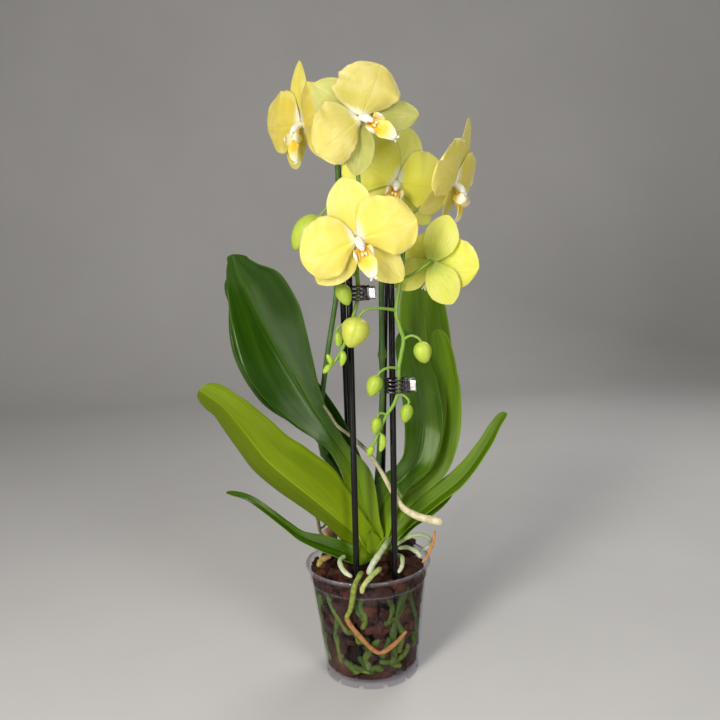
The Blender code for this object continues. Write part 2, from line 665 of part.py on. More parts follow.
def build_jaw(name, hinge, side, knuckle_heights, parts, cutters, material):
    """One jaw: a bent sheet cut into fingers, with two bored knuckles on the hinge."""
    plan = through(JAW_PLAN, 1)
    root_rows = 5
    bands = 2 * CLIP_FINGERS - 1
    bm = bmesh.new()
    grid = []
    for along, offset in plan:
        line = []
        for k in range(bands + 1):
            height = CLIP_HEIGHT * (k / bands - 0.5)
            line.append(bm.verts.new(Vector((-along, -side * offset, height)) * MM))
        grid.append(line)
    for i, (low, high) in enumerate(zip(grid, grid[1:])):
        for k in range(bands):
            if i >= root_rows - 1 and k % 2 == 1:
                continue
            bm.faces.new((low[k], low[k + 1], high[k + 1], high[k]))
    jaw = mesh_object(name, bm, parts, material)
    jaw.location = vec_mm(hinge)
    add_solidify(jaw, CLIP_SHEET)
    x, y, z = hinge
    for i, height in enumerate(knuckle_heights):
        knuckle = add_cylinder(f"{name}_knuckle_{i}", (x, y, z + height - 0.65),
                               (x, y, z + height + 0.65), CLIP_KNUCKLE_RADIUS, 12, cutters, material)
        hide_cutter(knuckle)
        add_boolean(jaw, knuckle, "UNION")
        bm = bmesh.new()
        bmesh.ops.create_cube(bm, size=MM)
        lug = mesh_object(f"{name}_lug_{i}", bm, cutters, material, smooth=False)
        lug.scale = (3.0, 2.0, 1.3)
        lug.location = Vector((x, y - side * 2.4, z + height)) * MM
        hide_cutter(lug)
        add_boolean(jaw, lug, "UNION")
    bore = add_cylinder(f"{name}_bore", (x, y, z - 9), (x, y, z + 9), CLIP_BORE_RADIUS, 10, cutters,
                        material)
    hide_cutter(bore)
    add_boolean(jaw, bore, "DIFFERENCE")


def build_clips(parts, cutters, steel, bright):
    for name, hinge in CLIPS.items():
        x, y, z = hinge
        build_jaw(f"{name}_front_jaw", hinge, 1, (-3.3, 3.3), parts, cutters, steel)
        build_jaw(f"{name}_back_jaw", hinge, -1, (-5.1, 5.1), parts, cutters, steel)
        add_cylinder(f"{name}_pin", (x, y, z - 6.4), (x, y, z + 6.4), CLIP_PIN_RADIUS, 10, parts,
                     bright)
        turns, steps, half = 3, 8, 2.1
        coil = []
        for k in range(turns * steps + 1):
            angle = 2 * math.pi * k / steps
            rise = half * (2 * k / (turns * steps) - 1)
            coil.append((x + 1.35 * math.cos(angle), y + 1.35 * math.sin(angle), z + rise, 0.5))
        spring = curve_tube(f"{name}_spring", coil, parts, bright, sides_resolution=1)
        spring.data.bevel_depth = 0.5 * MM


def main():
    clear_scene()
    parts = new_collection("potted_orchid")
    cutters = new_collection("cutters", hidden=True)
    clear_plastic = new_material("clear_plastic", (0.82, 0.82, 0.84), 0.15, alpha=0.35)
    bark = new_material("bark", (0.16, 0.06, 0.03), 0.9)
    black_plastic = new_material("black_plastic", (0.01, 0.01, 0.012), 0.2)
    leaf = new_material("leaf", (0.07, 0.22, 0.02), 0.35)
    root = new_material("root", (0.55, 0.58, 0.38), 0.7)
    stem = new_material("stem", (0.20, 0.36, 0.06), 0.45)
    sepal = new_material("sepal", (0.80, 0.76, 0.22), 0.55)
    petal = new_material("petal", (0.92, 0.86, 0.32), 0.55)
    lip = new_material("lip", (0.95, 0.55, 0.05), 0.4)
    gunmetal = new_material("gunmetal", (0.06, 0.06, 0.07), 0.25, metallic=0.9)
    bright = new_material("bright_steel", (0.75, 0.74, 0.74), 0.2, metallic=1.0)

    build_pot(parts, cutters, clear_plastic)
    build_bark_bed(parts, cutters, bark)
    build_chips(parts, bark)
    build_stakes(parts, black_plastic)
    build_stem_base(parts, stem)
    for name, blade in LEAVES.items():
        build_blade(name, blade["stations"], blade["face"], blade["fold"], parts, leaf)
    for name, points in ROOTS.items():
        curve_tube(name, through(points, 2), parts, root)
    build_spike("flower_spike_left", SPIKE_LEFT, SHOOTS_LEFT, parts, cutters, stem)
    build_spike("flower_spike_right", SPIKE_RIGHT, SHOOTS_RIGHT, parts, cutters, stem)
    build_flowers(parts, sepal, petal, lip)
    build_clips(parts, cutters, gunmetal, bright)


main()
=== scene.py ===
import math

import bpy
import numpy as np
from mathutils import Matrix, Vector


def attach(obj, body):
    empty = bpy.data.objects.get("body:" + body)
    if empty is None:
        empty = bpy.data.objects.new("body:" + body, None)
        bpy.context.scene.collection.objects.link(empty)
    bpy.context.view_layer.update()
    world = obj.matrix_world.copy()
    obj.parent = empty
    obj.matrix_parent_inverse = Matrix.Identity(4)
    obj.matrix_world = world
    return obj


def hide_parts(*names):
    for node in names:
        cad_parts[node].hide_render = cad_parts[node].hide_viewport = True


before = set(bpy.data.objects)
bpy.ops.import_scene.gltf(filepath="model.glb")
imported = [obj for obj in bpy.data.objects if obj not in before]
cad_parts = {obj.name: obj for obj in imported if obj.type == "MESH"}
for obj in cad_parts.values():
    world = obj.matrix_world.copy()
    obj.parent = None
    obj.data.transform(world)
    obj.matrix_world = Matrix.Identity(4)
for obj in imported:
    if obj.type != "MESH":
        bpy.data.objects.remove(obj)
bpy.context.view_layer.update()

MM = 0.001
PLANT = "plant"


# ---- shaders


class Shader:
    """A Principled material with short calls for the nodes that feed it."""

    def __init__(self, name, **values):
        self.material = bpy.data.materials.new(name)
        self.material.use_nodes = True
        self.tree = self.material.node_tree
        self.surface = self.tree.nodes["Principled BSDF"]
        for key, value in values.items():
            self.surface.inputs[key.replace("_", " ")].default_value = value

    def put(self, socket, value):
        if isinstance(value, bpy.types.NodeSocket):
            self.tree.links.new(value, socket)
        elif socket.type == "RGBA" and len(value) == 3:
            socket.default_value = (*value, 1.0)
        else:
            socket.default_value = value

    def node(self, kind, inputs=(), **settings):
        made = self.tree.nodes.new("ShaderNode" + kind)
        for key, value in settings.items():
            setattr(made, key, value)
        for key, value in dict(inputs).items():
            self.put(made.inputs[key], value)
        return made

    def attribute(self, name):
        return self.node("Attribute", attribute_name=name).outputs["Fac"]

    def place(self):
        return self.node("TexCoord").outputs["Object"]

    def scaled_place(self, *scale):
        return self.node("Mapping", {"Vector": self.place(), "Scale": scale}).outputs[0]

    def math(self, operation, a, b=0.0, clamp=False):
        made = self.node("Math", {0: a, 1: b}, operation=operation, use_clamp=clamp)
        return made.outputs[0]

    def times(self, a, b):
        return self.math("MULTIPLY", a, b)

    def plus(self, a, b):
        return self.math("ADD", a, b)

    def less(self, a, b):
        return self.math("SUBTRACT", a, b)

    def absolute(self, a):
        return self.math("ABSOLUTE", a)

    def step(self, value, low, high, to_low=0.0, to_high=1.0):
        """A smooth change from to_low to to_high as the value goes from low to high."""
        made = self.node(
            "MapRange",
            {"Value": value, "From Min": low, "From Max": high, "To Min": to_low, "To Max": to_high},
            interpolation_type="SMOOTHSTEP",
        )
        return made.outputs["Result"]

    def mix(self, share, a, b):
        made = self.node("Mix", data_type="RGBA")
        for index, value in ((0, share), (6, a), (7, b)):
            self.put(made.inputs[index], value)
        return made.outputs[2]

    def joined(self, x, y, z=0.0):
        return self.node("CombineXYZ", {"X": x, "Y": y, "Z": z}).outputs[0]

    def stretched(self, x, y, scale_x, scale_y, seed):
        """Coordinates along and across a surface, each with its own scale."""
        return self.joined(self.times(x, scale_x), self.times(y, scale_y), seed)

    def noise(self, vector, scale, detail=3.0, rough=0.55, warp=0.0):
        made = self.node(
            "TexNoise",
            {"Vector": vector, "Scale": scale, "Detail": detail, "Roughness": rough, "Distortion": warp},
        )
        return made.outputs[0]

    def bump(self, height, strength, distance, under=None):
        made = self.node("Bump", {"Height": height, "Strength": strength, "Distance": distance})
        if under is not None:
            self.put(made.inputs["Normal"], under)
        return made.outputs[0]

    def finish(self, colour=None, rough=None, normal=None):
        for key, value in (("Base Color", colour), ("Roughness", rough), ("Normal", normal)):
            if value is not None:
                self.put(self.surface.inputs[key], value)
        return self.material


def toned(colour, factor, lift=0.0, limit=1.0):
    """The colour times a factor (darker below 1), no channel above the limit."""
    return tuple(min(c * factor + lift, limit) for c in colour)


def leaf_material(name, dark, light, base, seed, reach, gloss, shine=0.3, painted_shade_low_half=0.0):
    """Reach is how far the pale foot runs up the blade; the last argument is painted shade, darkening the half
    below the midrib that folds away from the light.
    """
    s = Shader(
        name, Specular_IOR_Level=shine, Specular_Tint=(0.95, 1.0, 0.72, 1), Subsurface_Weight=0.04,
        Subsurface_Scale=0.004, Subsurface_Radius=(0.4, 1.0, 0.15),
    )
    along, across, side = (s.attribute(a) for a in ("along", "across", "side"))
    off_mid = s.absolute(across)
    broad = s.noise(s.stretched(across, along, 2.2, 1.6, seed), 1.6, 4, 0.6, 0.4)
    streak = s.noise(s.stretched(across, along, 14.0, 1.2, seed), 1.5, 3, 0.6)
    fine = s.noise(s.stretched(across, along, 70.0, 3.0, seed), 1.5, 2, 0.6)
    speck = s.noise(s.place(), 420.0, 2, 0.5)
    colour = s.mix(s.step(broad, 0.30, 0.75), dark, light)
    colour = s.mix(s.step(streak, 0.42, 0.70, 0.0, 0.12), colour, light)
    colour = s.mix(s.step(fine, 0.35, 0.65, 0.0, 0.10), colour, toned(dark, 0.45))
    colour = s.mix(s.step(speck, 0.66, 0.80, 0.0, 0.15), colour, toned(light, 1.6))
    middle = s.times(s.step(off_mid, 0.035, 0.0), s.step(along, 1.0, 0.2, 0.15, 0.45))
    colour = s.mix(middle, colour, toned(light, 2.2, 0.02, 0.9))
    edge = s.step(off_mid, 0.95, 1.0, 0.0, 0.55)
    colour = s.mix(edge, colour, toned(light, 1.8, 0.02, 0.9))
    colour = s.mix(s.times(side, 0.75), colour, (0.12, 0.24, 0.03))
    foot = s.plus(along, s.times(s.less(streak, 0.5), 0.10))
    colour = s.mix(s.step(foot, reach, 0.02), colour, base)
    # painted shade: the half below the midrib, folded away from the light, is darkened
    colour = s.mix(s.step(across, 0.02, -0.08, 0.0, painted_shade_low_half), colour, toned(dark, 0.5))
    rough = s.step(s.plus(fine, s.times(broad, 0.6)), 0.5, 1.1, gloss, gloss + 0.10)
    ridge = s.plus(s.times(fine, 0.7), streak)
    normal = s.bump(ridge, 0.16, 0.0006)
    cells = s.noise(s.place(), 900.0, 2, 0.5)
    return s.finish(colour, rough, s.bump(cells, 0.06, 0.0003, normal))


def tepal_material(name, body, deep, pale, heart, back, seed, vein_share=0.22):
    s = Shader(
        name, Specular_IOR_Level=0.35, Subsurface_Weight=0.35, Subsurface_Scale=0.0045,
        Subsurface_Radius=(1.0, 0.9, 0.35), Sheen_Weight=0.12, Sheen_Roughness=0.4,
    )
    along, across, side = (s.attribute(a) for a in ("along", "across", "side"))
    off_mid = s.absolute(across)
    cloud = s.noise(s.stretched(across, along, 1.3, 1.5, seed), 1.8, 4, 0.55, 0.5)
    fan = s.noise(s.stretched(across, along, 13.0, 1.4, seed), 1.6, 3, 0.55, 0.25)
    branch = s.noise(s.stretched(across, along, 34.0, 5.0, seed + 3), 1.4, 2, 0.6, 0.3)
    line = s.step(s.absolute(s.less(fan, 0.5)), 0.055, 0.0)
    twig = s.step(s.absolute(s.less(branch, 0.5)), 0.05, 0.0)
    sparkle = s.noise(s.place(), 1500.0, 2, 0.5)
    colour = s.mix(s.step(cloud, 0.35, 0.70), body, pale)
    colour = s.mix(s.step(along, 0.15, 0.75, 0.55, 0.0), colour, deep)
    colour = s.mix(s.step(off_mid, 0.72, 1.0, 0.0, 0.5), colour, pale)
    veins = s.math("MAXIMUM", line, s.times(twig, 0.55))
    veins = s.times(veins, s.step(along, 0.98, 0.35, 0.25, 1.0))
    colour = s.mix(s.times(veins, vein_share), colour, deep)
    colour = s.mix(s.step(off_mid, 0.05, 0.0, 0.0, 0.35), colour, deep)
    colour = s.mix(s.step(sparkle, 0.60, 0.75, 0.0, 0.15), colour, toned(pale, 1.15))
    colour = s.mix(s.times(side, 0.45), colour, back)
    nerves = s.times(s.times(veins, side), s.step(along, 1.0, 0.2, 0.1, 0.45))
    root = s.times(side, s.step(along, 0.45, 0.05, 0.0, 0.75))
    colour = s.mix(s.math("MAXIMUM", nerves, root), colour, (0.22, 0.30, 0.03))
    heart_line = s.plus(along, s.times(s.less(fan, 0.5), 0.12))
    white = s.times(s.step(heart_line, 0.15, 0.02, 0.0, 0.8), s.less(1.0, side))
    colour = s.mix(white, colour, heart)
    relief = s.plus(s.times(fan, 0.9), s.times(branch, 0.35))
    normal = s.bump(relief, 0.30, 0.0007)
    rough = s.step(s.noise(s.place(), 220.0, 2, 0.5), 0.3, 0.7, 0.42, 0.60)
    return s.finish(colour, rough, s.bump(sparkle, 0.10, 0.00025, normal))


def lip_material():
    s = Shader(
        "lip_tissue", Specular_IOR_Level=0.5, Subsurface_Weight=0.25, Subsurface_Scale=0.003,
        Subsurface_Radius=(1.0, 0.7, 0.25),
    )
    along, across = s.attribute("along"), s.attribute("across")
    off_mid = s.absolute(across)
    stripe = s.noise(s.stretched(across, along, 9.0, 1.2, 4.0), 2.0, 2, 0.5)
    blot = s.noise(s.place(), 700.0, 3, 0.6)
    colour = s.mix(s.step(along, 0.14, 0.40), (0.86, 0.26, 0.015), (0.95, 0.62, 0.03))
    colour = s.mix(s.step(off_mid, 0.35, 0.9, 0.0, 0.85), colour, (0.96, 0.78, 0.12))
    reds = s.times(s.step(stripe, 0.52, 0.62, 0.0, 0.75), s.step(along, 0.66, 0.35))
    colour = s.mix(reds, colour, (0.78, 0.20, 0.015))
    colour = s.mix(s.step(along, 0.48, 0.90), colour, (0.96, 0.93, 0.72))
    colour = s.mix(s.step(blot, 0.62, 0.72, 0.0, 0.25), colour, (0.80, 0.35, 0.03))
    return s.finish(colour, s.step(blot, 0.3, 0.7, 0.30, 0.48), s.bump(stripe, 0.25, 0.0005))


def lobe_material():
    s = Shader("lip_side_lobe", Specular_IOR_Level=0.5, Subsurface_Weight=0.25, Subsurface_Scale=0.003)
    along, across = s.attribute("along"), s.attribute("across")
    stripe = s.noise(s.stretched(across, along, 12.0, 1.0, 9.0), 2.0, 2, 0.5)
    colour = s.mix(s.step(along, 0.10, 0.55), (0.92, 0.62, 0.05), (0.95, 0.90, 0.66))
    rays = s.times(s.step(stripe, 0.50, 0.62, 0.0, 0.55), s.step(along, 0.7, 0.2))
    colour = s.mix(rays, colour, (0.86, 0.30, 0.02))
    colour = s.mix(s.step(s.absolute(across), 0.7, 1.0, 0.0, 0.8), colour, (0.95, 0.72, 0.08))
    return s.finish(colour, s.step(stripe, 0.3, 0.7, 0.32, 0.5), s.bump(stripe, 0.2, 0.0004))


def column_material():
    s = Shader("column_tissue", Specular_IOR_Level=0.5, Subsurface_Weight=0.35, Subsurface_Scale=0.003)
    along = s.attribute("along")
    grain = s.noise(s.place(), 900.0, 3, 0.55)
    soft = s.noise(s.place(), 160.0, 3, 0.55)
    colour = s.mix(s.step(along, 0.1, 0.8), (0.93, 0.90, 0.74), (0.96, 0.94, 0.88))
    colour = s.mix(s.step(soft, 0.45, 0.75, 0.0, 0.4), colour, (0.93, 0.84, 0.40))
    return s.finish(colour, s.step(grain, 0.3, 0.7, 0.34, 0.52), s.bump(grain, 0.15, 0.0003))


def stem_material():
    s = Shader(
        "spike_tissue", Specular_IOR_Level=0.5, Subsurface_Weight=0.12, Subsurface_Scale=0.003,
        Subsurface_Radius=(0.6, 1.0, 0.2),
    )
    along, around = s.attribute("along"), s.attribute("around")
    tone, bud, seam, ripe = (s.attribute(a) for a in ("tone", "bud", "seam", "ripe"))
    streak = s.noise(s.stretched(around, along, 7.0, 26.0, 2.0), 2.2, 3, 0.6)
    speck = s.noise(s.place(), 1100.0, 2, 0.6)
    blotch = s.noise(s.place(), 90.0, 3, 0.6)
    colour = s.mix(tone, (0.045, 0.125, 0.015), (0.20, 0.36, 0.035))
    colour = s.mix(s.step(blotch, 0.40, 0.80, 0.0, 0.25), colour, (0.26, 0.38, 0.05))
    colour = s.mix(s.step(streak, 0.50, 0.75, 0.0, 0.20), colour, (0.32, 0.44, 0.09))
    green = s.mix(s.step(blotch, 0.35, 0.7), (0.33, 0.50, 0.03), (0.44, 0.58, 0.06))
    lemon = s.mix(s.step(streak, 0.35, 0.7), (0.58, 0.64, 0.07), (0.70, 0.72, 0.14))
    green = s.mix(ripe, green, lemon)
    green = s.mix(s.times(seam, 0.6), green, (0.32, 0.44, 0.02))
    colour = s.mix(bud, colour, green)
    colour = s.mix(s.step(speck, 0.64, 0.76, 0.0, 0.18), colour, (0.56, 0.66, 0.24))
    normal = s.bump(streak, 0.18, 0.0004)
    rough = s.step(speck, 0.3, 0.7, 0.32, 0.50)
    return s.finish(colour, rough, s.bump(speck, 0.10, 0.00025, normal))


def root_material(name, first, last, stain, seed, change=(0.15, 1.0)):
    s = Shader(name, Specular_IOR_Level=0.35, Subsurface_Weight=0.08, Subsurface_Scale=0.002)
    along, around = s.attribute("along"), s.attribute("around")
    mottle = s.noise(s.place(), 260.0, 4, 0.62, 0.6)
    skin = s.noise(s.stretched(around, along, 3.0, 60.0, seed), 2.0, 3, 0.6)
    grit = s.noise(s.place(), 1300.0, 2, 0.6)
    place = s.plus(along, s.times(s.less(mottle, 0.5), 0.2))
    colour = s.mix(s.step(place, *change), first, last)
    colour = s.mix(s.step(mottle, 0.44, 0.62, 0.0, 0.6), colour, stain)
    colour = s.mix(s.step(skin, 0.55, 0.72, 0.0, 0.35), colour, toned(stain, 0.55))
    colour = s.mix(s.step(grit, 0.62, 0.75, 0.0, 0.3), colour, toned(first, 1.5))
    normal = s.bump(s.plus(mottle, s.times(skin, 0.7)), 0.55, 0.0007)
    return s.finish(colour, s.step(mottle, 0.3, 0.7, 0.55, 0.85), s.bump(grit, 0.25, 0.0003, normal))


def bark_material():
    s = Shader("bark_chunks", Specular_IOR_Level=0.3)
    tint = s.attribute("tint")
    flat = s.scaled_place(1.0, 1.0, 2.6)
    layer = s.noise(flat, 190.0, 5, 0.68, 1.4)
    crack = s.noise(s.place(), 420.0, 4, 0.7, 0.8)
    patch = s.noise(s.place(), 60.0, 3, 0.6)
    colour = s.mix(s.step(layer, 0.32, 0.70), (0.012, 0.005, 0.003), (0.070, 0.022, 0.010))
    colour = s.mix(s.times(tint, s.step(patch, 0.35, 0.6)), colour, (0.13, 0.040, 0.014))
    colour = s.mix(s.step(crack, 0.62, 0.74, 0.0, 0.45), colour, (0.22, 0.11, 0.05))
    colour = s.mix(s.step(crack, 0.40, 0.28, 0.0, 0.8), colour, (0.012, 0.006, 0.004))
    normal = s.bump(s.plus(layer, s.times(crack, 0.6)), 0.8, 0.0016)
    return s.finish(colour, s.step(crack, 0.3, 0.7, 0.60, 0.92), normal)


def light_chip_material():
    s = Shader("pale_chip", Specular_IOR_Level=0.3)
    fibre = s.scaled_place(0.35, 1, 2)
    grain = s.noise(fibre, 420.0, 4, 0.65, 0.8)
    stain = s.noise(s.place(), 110.0, 3, 0.6)
    colour = s.mix(s.step(grain, 0.3, 0.7), (0.42, 0.20, 0.09), (0.66, 0.42, 0.23))
    colour = s.mix(s.step(stain, 0.5, 0.7, 0.0, 0.8), colour, (0.28, 0.10, 0.04))
    return s.finish(colour, s.step(grain, 0.3, 0.7, 0.6, 0.85), s.bump(grain, 0.6, 0.001))


def stake_material():
    s = Shader("stake_black", Specular_IOR_Level=0.30)
    place = s.scaled_place(1.0, 1.0, 0.12)
    drawn = s.noise(place, 900.0, 3, 0.6)
    dust = s.noise(s.place(), 260.0, 4, 0.65)
    colour = s.mix(s.step(dust, 0.55, 0.80, 0.0, 0.4), (0.003, 0.003, 0.003), (0.014, 0.012, 0.010))
    return s.finish(colour, s.step(drawn, 0.3, 0.7, 0.07, 0.15), s.bump(drawn, 0.08, 0.0003))


def metal_material(name, dark, light, low, high):
    s = Shader(name, Metallic=1.0)
    brushed = s.scaled_place(1.0, 1.0, 0.15)
    hair = s.noise(brushed, 2600.0, 3, 0.6)
    tarnish = s.noise(s.place(), 420.0, 4, 0.6)
    colour = s.mix(s.step(tarnish, 0.35, 0.7), light, dark)
    return s.finish(colour, s.step(hair, 0.3, 0.7, low, high), s.bump(hair, 0.10, 0.0002))


def clear_material():
    """Thin clear plastic: a glossy film over a see-through sheet, hazier low down, with more opaque bands at the
    lip that are partly haze and partly painted highlight, and a painted highlight line at the shoulder step.
    """
    s = Shader("clear_wall", Specular_IOR_Level=0.6, Coat_Weight=0.3, Coat_Roughness=0.05)
    height = s.attribute("height")
    scuff = s.noise(s.scaled_place(1, 1, 0.3), 700.0, 4, 0.65)
    film = s.noise(s.place(), 45.0, 4, 0.6)
    colour = s.mix(s.step(film, 0.35, 0.7), (0.20, 0.18, 0.20), (0.36, 0.34, 0.37))
    s.finish(colour, s.step(scuff, 0.35, 0.72, 0.05, 0.20), s.bump(scuff, 0.05, 0.0003))
    glance = s.node("LayerWeight", {"Blend": 0.30}).outputs["Fresnel"]
    outer = s.less(1.0, s.node("NewGeometry").outputs["Backfacing"])
    glance = s.times(s.times(glance, outer), 0.42)
    haze_and_highlight = s.step(film, 0.35, 0.80, 0.0, 0.03)
    # partly haze and partly painted highlight: two more opaque bands at the lip stand in for its light lines
    haze_and_highlight = s.plus(haze_and_highlight, s.step(height, 0.955, 0.975, 0.0, 0.20))
    haze_and_highlight = s.plus(haze_and_highlight, s.step(height, 0.985, 0.996, 0.0, 0.35))
    # painted highlight: a thin more opaque band at the shoulder step stands in for the light line it catches
    step = s.absolute(s.less(height, 0.850))
    haze_and_highlight = s.plus(haze_and_highlight, s.step(step, 0.012, 0.004, 0.0, 0.14))
    haze_and_highlight = s.plus(haze_and_highlight, s.step(height, 0.09, 0.03, 0.0, 0.07))
    share = s.math("ADD", haze_and_highlight, glance, clamp=True)
    see = s.node("BsdfTransparent", {"Color": (0.94, 0.93, 0.95)})
    both = s.node("MixShader", {0: share, 1: see.outputs[0], 2: s.surface.outputs[0]})
    s.tree.links.new(both.outputs[0], s.tree.nodes["Material Output"].inputs["Surface"])
    return s.material


# ---- mesh code, in millimetres


def through(points, per_span):
    """A Catmull-Rom curve through rows of numbers."""
    p = np.array(points, float)
    p = np.vstack([p[0], p, p[-1]])
    t = np.linspace(0, 1, per_span, endpoint=False)[:, None]
    spans = []
    for a, b, c, d in zip(p, p[1:], p[2:], p[3:]):
        spans.append(
            0.5 * (2 * b + (c - a) * t + (2 * a - 5 * b + 4 * c - d) * t**2 + (3 * b - a - 3 * c + d) * t**3)
        )
    return np.vstack([*spans, p[-1]])


def unit(v):
    return v / np.maximum(np.linalg.norm(v, axis=-1, keepdims=True), 1e-12)


def smoothstep(value, low, high):
    t = np.clip((value - low) / (high - low), 0, 1)
    return t * t * (3 - 2 * t)


def lengths(rows):
    """Distance along a path at each of its rows."""
    return np.r_[0, np.cumsum(np.linalg.norm(np.diff(rows[:, :3], axis=0), axis=1))]


class Lump:
    """One closed surface: vertices, faces, numbers per vertex for the shader, and a material index."""

    def __init__(self, verts, faces, numbers, material=0):
        self.verts, self.faces, self.numbers, self.material = verts, faces, numbers, material


def quads(rows, cols, start=0, loop=False, flip=False):
    at = start + np.arange(rows * cols).reshape(rows, cols)
    nxt = np.roll(at, -1, axis=1) if loop else at[:, 1:]
    here = at if loop else at[:, :-1]
    found = np.stack([here[:-1], nxt[:-1], nxt[1:], here[1:]], -1).reshape(-1, 4)
    return found[:, ::-1] if flip else found


def sheet(points, half_thick, material=0, **numbers):
    """A thin closed body round a grid of points; its upper side is where across x along points."""
    rows, cols = points.shape[:2]
    normal = unit(np.cross(np.gradient(points, axis=1), np.gradient(points, axis=0)))
    upper, lower = points + normal * half_thick[..., None], points - normal * half_thick[..., None]
    count = rows * cols
    at = np.arange(count).reshape(rows, cols)
    rim = np.concatenate([at[0, :-1], at[:-1, -1], at[-1, :0:-1], at[:0:-1, 0]])
    after = np.roll(rim, -1)
    sides = np.stack([rim, rim + count, after + count, after], -1)
    faces = np.vstack([quads(rows, cols), quads(rows, cols, count, flip=True), sides])
    along, across = np.meshgrid(np.linspace(0, 1, rows), np.linspace(-1, 1, cols), indexing="ij")
    data = {"along": along, "across": across, **numbers}
    data = {k: np.tile(np.broadcast_to(v, (rows, cols)).ravel(), 2) for k, v in data.items()}
    data["side"] = np.repeat([0.0, 1.0], count)
    return Lump(np.vstack([upper.reshape(-1, 3), lower.reshape(-1, 3)]), faces, data, material)


def tube(rows, sides=14, material=0, swell=None, **numbers):
    """A closed tube along rows of x, y, z, radius; swell(along, angle) scales the radius."""
    rows = np.array(rows, float)
    count = len(rows)
    tangent = unit(np.gradient(rows[:, :3], axis=0))
    lead = np.zeros((count, 3))
    lead[0] = unit(np.cross(tangent[0], (0.13, 0.31, 0.94)))
    for i in range(1, count):
        lead[i] = unit(lead[i - 1] - tangent[i] * lead[i - 1].dot(tangent[i]))
    other = np.cross(tangent, lead)
    angle = np.linspace(0, 2 * np.pi, sides, endpoint=False)
    along = lengths(rows) / lengths(rows)[-1]
    reach = np.repeat(rows[:, 3:4], sides, 1)
    if swell is not None:
        reach = reach * swell(along[:, None], angle[None, :])
    ring = rows[:, None, :3] + reach[..., None] * (
        np.cos(angle)[None, :, None] * lead[:, None] + np.sin(angle)[None, :, None] * other[:, None]
    )
    verts = np.vstack([ring.reshape(-1, 3), rows[0, :3], rows[-1, :3]])
    total = count * sides
    edge = np.arange(sides)
    near = np.stack([edge, np.full(sides, total), np.roll(edge, -1)], -1)
    last = total - sides + edge
    far = np.stack([last, np.roll(last, -1), np.full(sides, total + 1)], -1)
    faces = [*quads(count, sides, loop=True).tolist(), *near.tolist(), *far.tolist()]
    shape = (count, sides)
    data = {"along": along[:, None], "around": (np.sin(angle) * 0.5 + 0.5)[None, :], **numbers}
    data = {k: np.broadcast_to(v, shape) for k, v in data.items()}
    data = {k: np.r_[v.ravel(), v[[0, -1], 0]] for k, v in data.items()}
    return Lump(verts, faces, data, material)


def turned(profile, sides):
    """A closed profile of radius, height turned round Z."""
    profile = np.array(profile, float)
    angle = np.linspace(0, 2 * np.pi, sides, endpoint=False)
    reach, level = profile[:, :1], np.repeat(profile[:, 1:], sides, 1)
    ring = np.stack([reach * np.cos(angle), reach * np.sin(angle), level], -1)
    count = len(profile)
    faces = quads(count + 1, sides, loop=True) % (count * sides)
    height = np.repeat(profile[:, 1], sides) / profile[:, 1].max()
    return Lump(ring.reshape(-1, 3), faces, {"height": height})


def assemble(name, lumps, materials, node=None, body=PLANT, matrix=None):
    """One object from several lumps, standing for a CAD node."""
    verts, faces, owner, data, start = [], [], [], {}, 0
    keys = sorted({k for lump in lumps for k in lump.numbers})
    for lump in lumps:
        verts.append(lump.verts)
        rows = lump.faces.tolist() if isinstance(lump.faces, np.ndarray) else lump.faces
        faces.extend([[v + start for v in face] for face in rows])
        owner.extend([lump.material] * len(rows))
        for k in keys:
            data.setdefault(k, []).append(lump.numbers.get(k, np.zeros(len(lump.verts))))
        start += len(lump.verts)
    points = np.vstack(verts)
    if matrix is not None:
        m = np.array(matrix)
        points = points @ m[:3, :3].T + m[:3, 3]
    mesh = bpy.data.meshes.new(name)
    mesh.from_pydata((points * MM).tolist(), [], faces)
    for k in keys:
        attribute = mesh.attributes.new(k, "FLOAT", "POINT")
        attribute.data.foreach_set("value", np.concatenate(data[k]).astype(np.float32))
    for material in materials:
        mesh.materials.append(material)
    mesh.polygons.foreach_set("material_index", owner)
    mesh.shade_smooth()
    mesh.validate()
    obj = bpy.data.objects.new(name, mesh)
    bpy.context.scene.collection.objects.link(obj)
    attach(obj, body)
    if node:
        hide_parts(*([node] if isinstance(node, str) else node))
    return obj


def cut_away(piece, lumps):
    """Takes closed lumps out of a piece."""
    points, faces = [], []
    for lump in lumps:
        faces.extend([[v + len(points) for v in face] for face in lump.faces])
        points.extend((lump.verts * MM).tolist())
    mesh = bpy.data.meshes.new("cutter")
    mesh.from_pydata(points, [], faces)
    cutter = bpy.data.objects.new("cutter", mesh)
    bpy.context.scene.collection.objects.link(cutter)
    change = piece.modifiers.new("cut", "BOOLEAN")
    change.operation, change.solver, change.object = "DIFFERENCE", "EXACT", cutter
    seen = piece.evaluated_get(bpy.context.evaluated_depsgraph_get())
    left = bpy.data.meshes.new_from_object(seen)
    piece.modifiers.clear()
    piece.data = left
    bpy.data.objects.remove(cutter)


# ---- leaves: stations of x, y, z, half width left and right; the face's
# direction at foot and tip; the fold of the left and right half in degrees

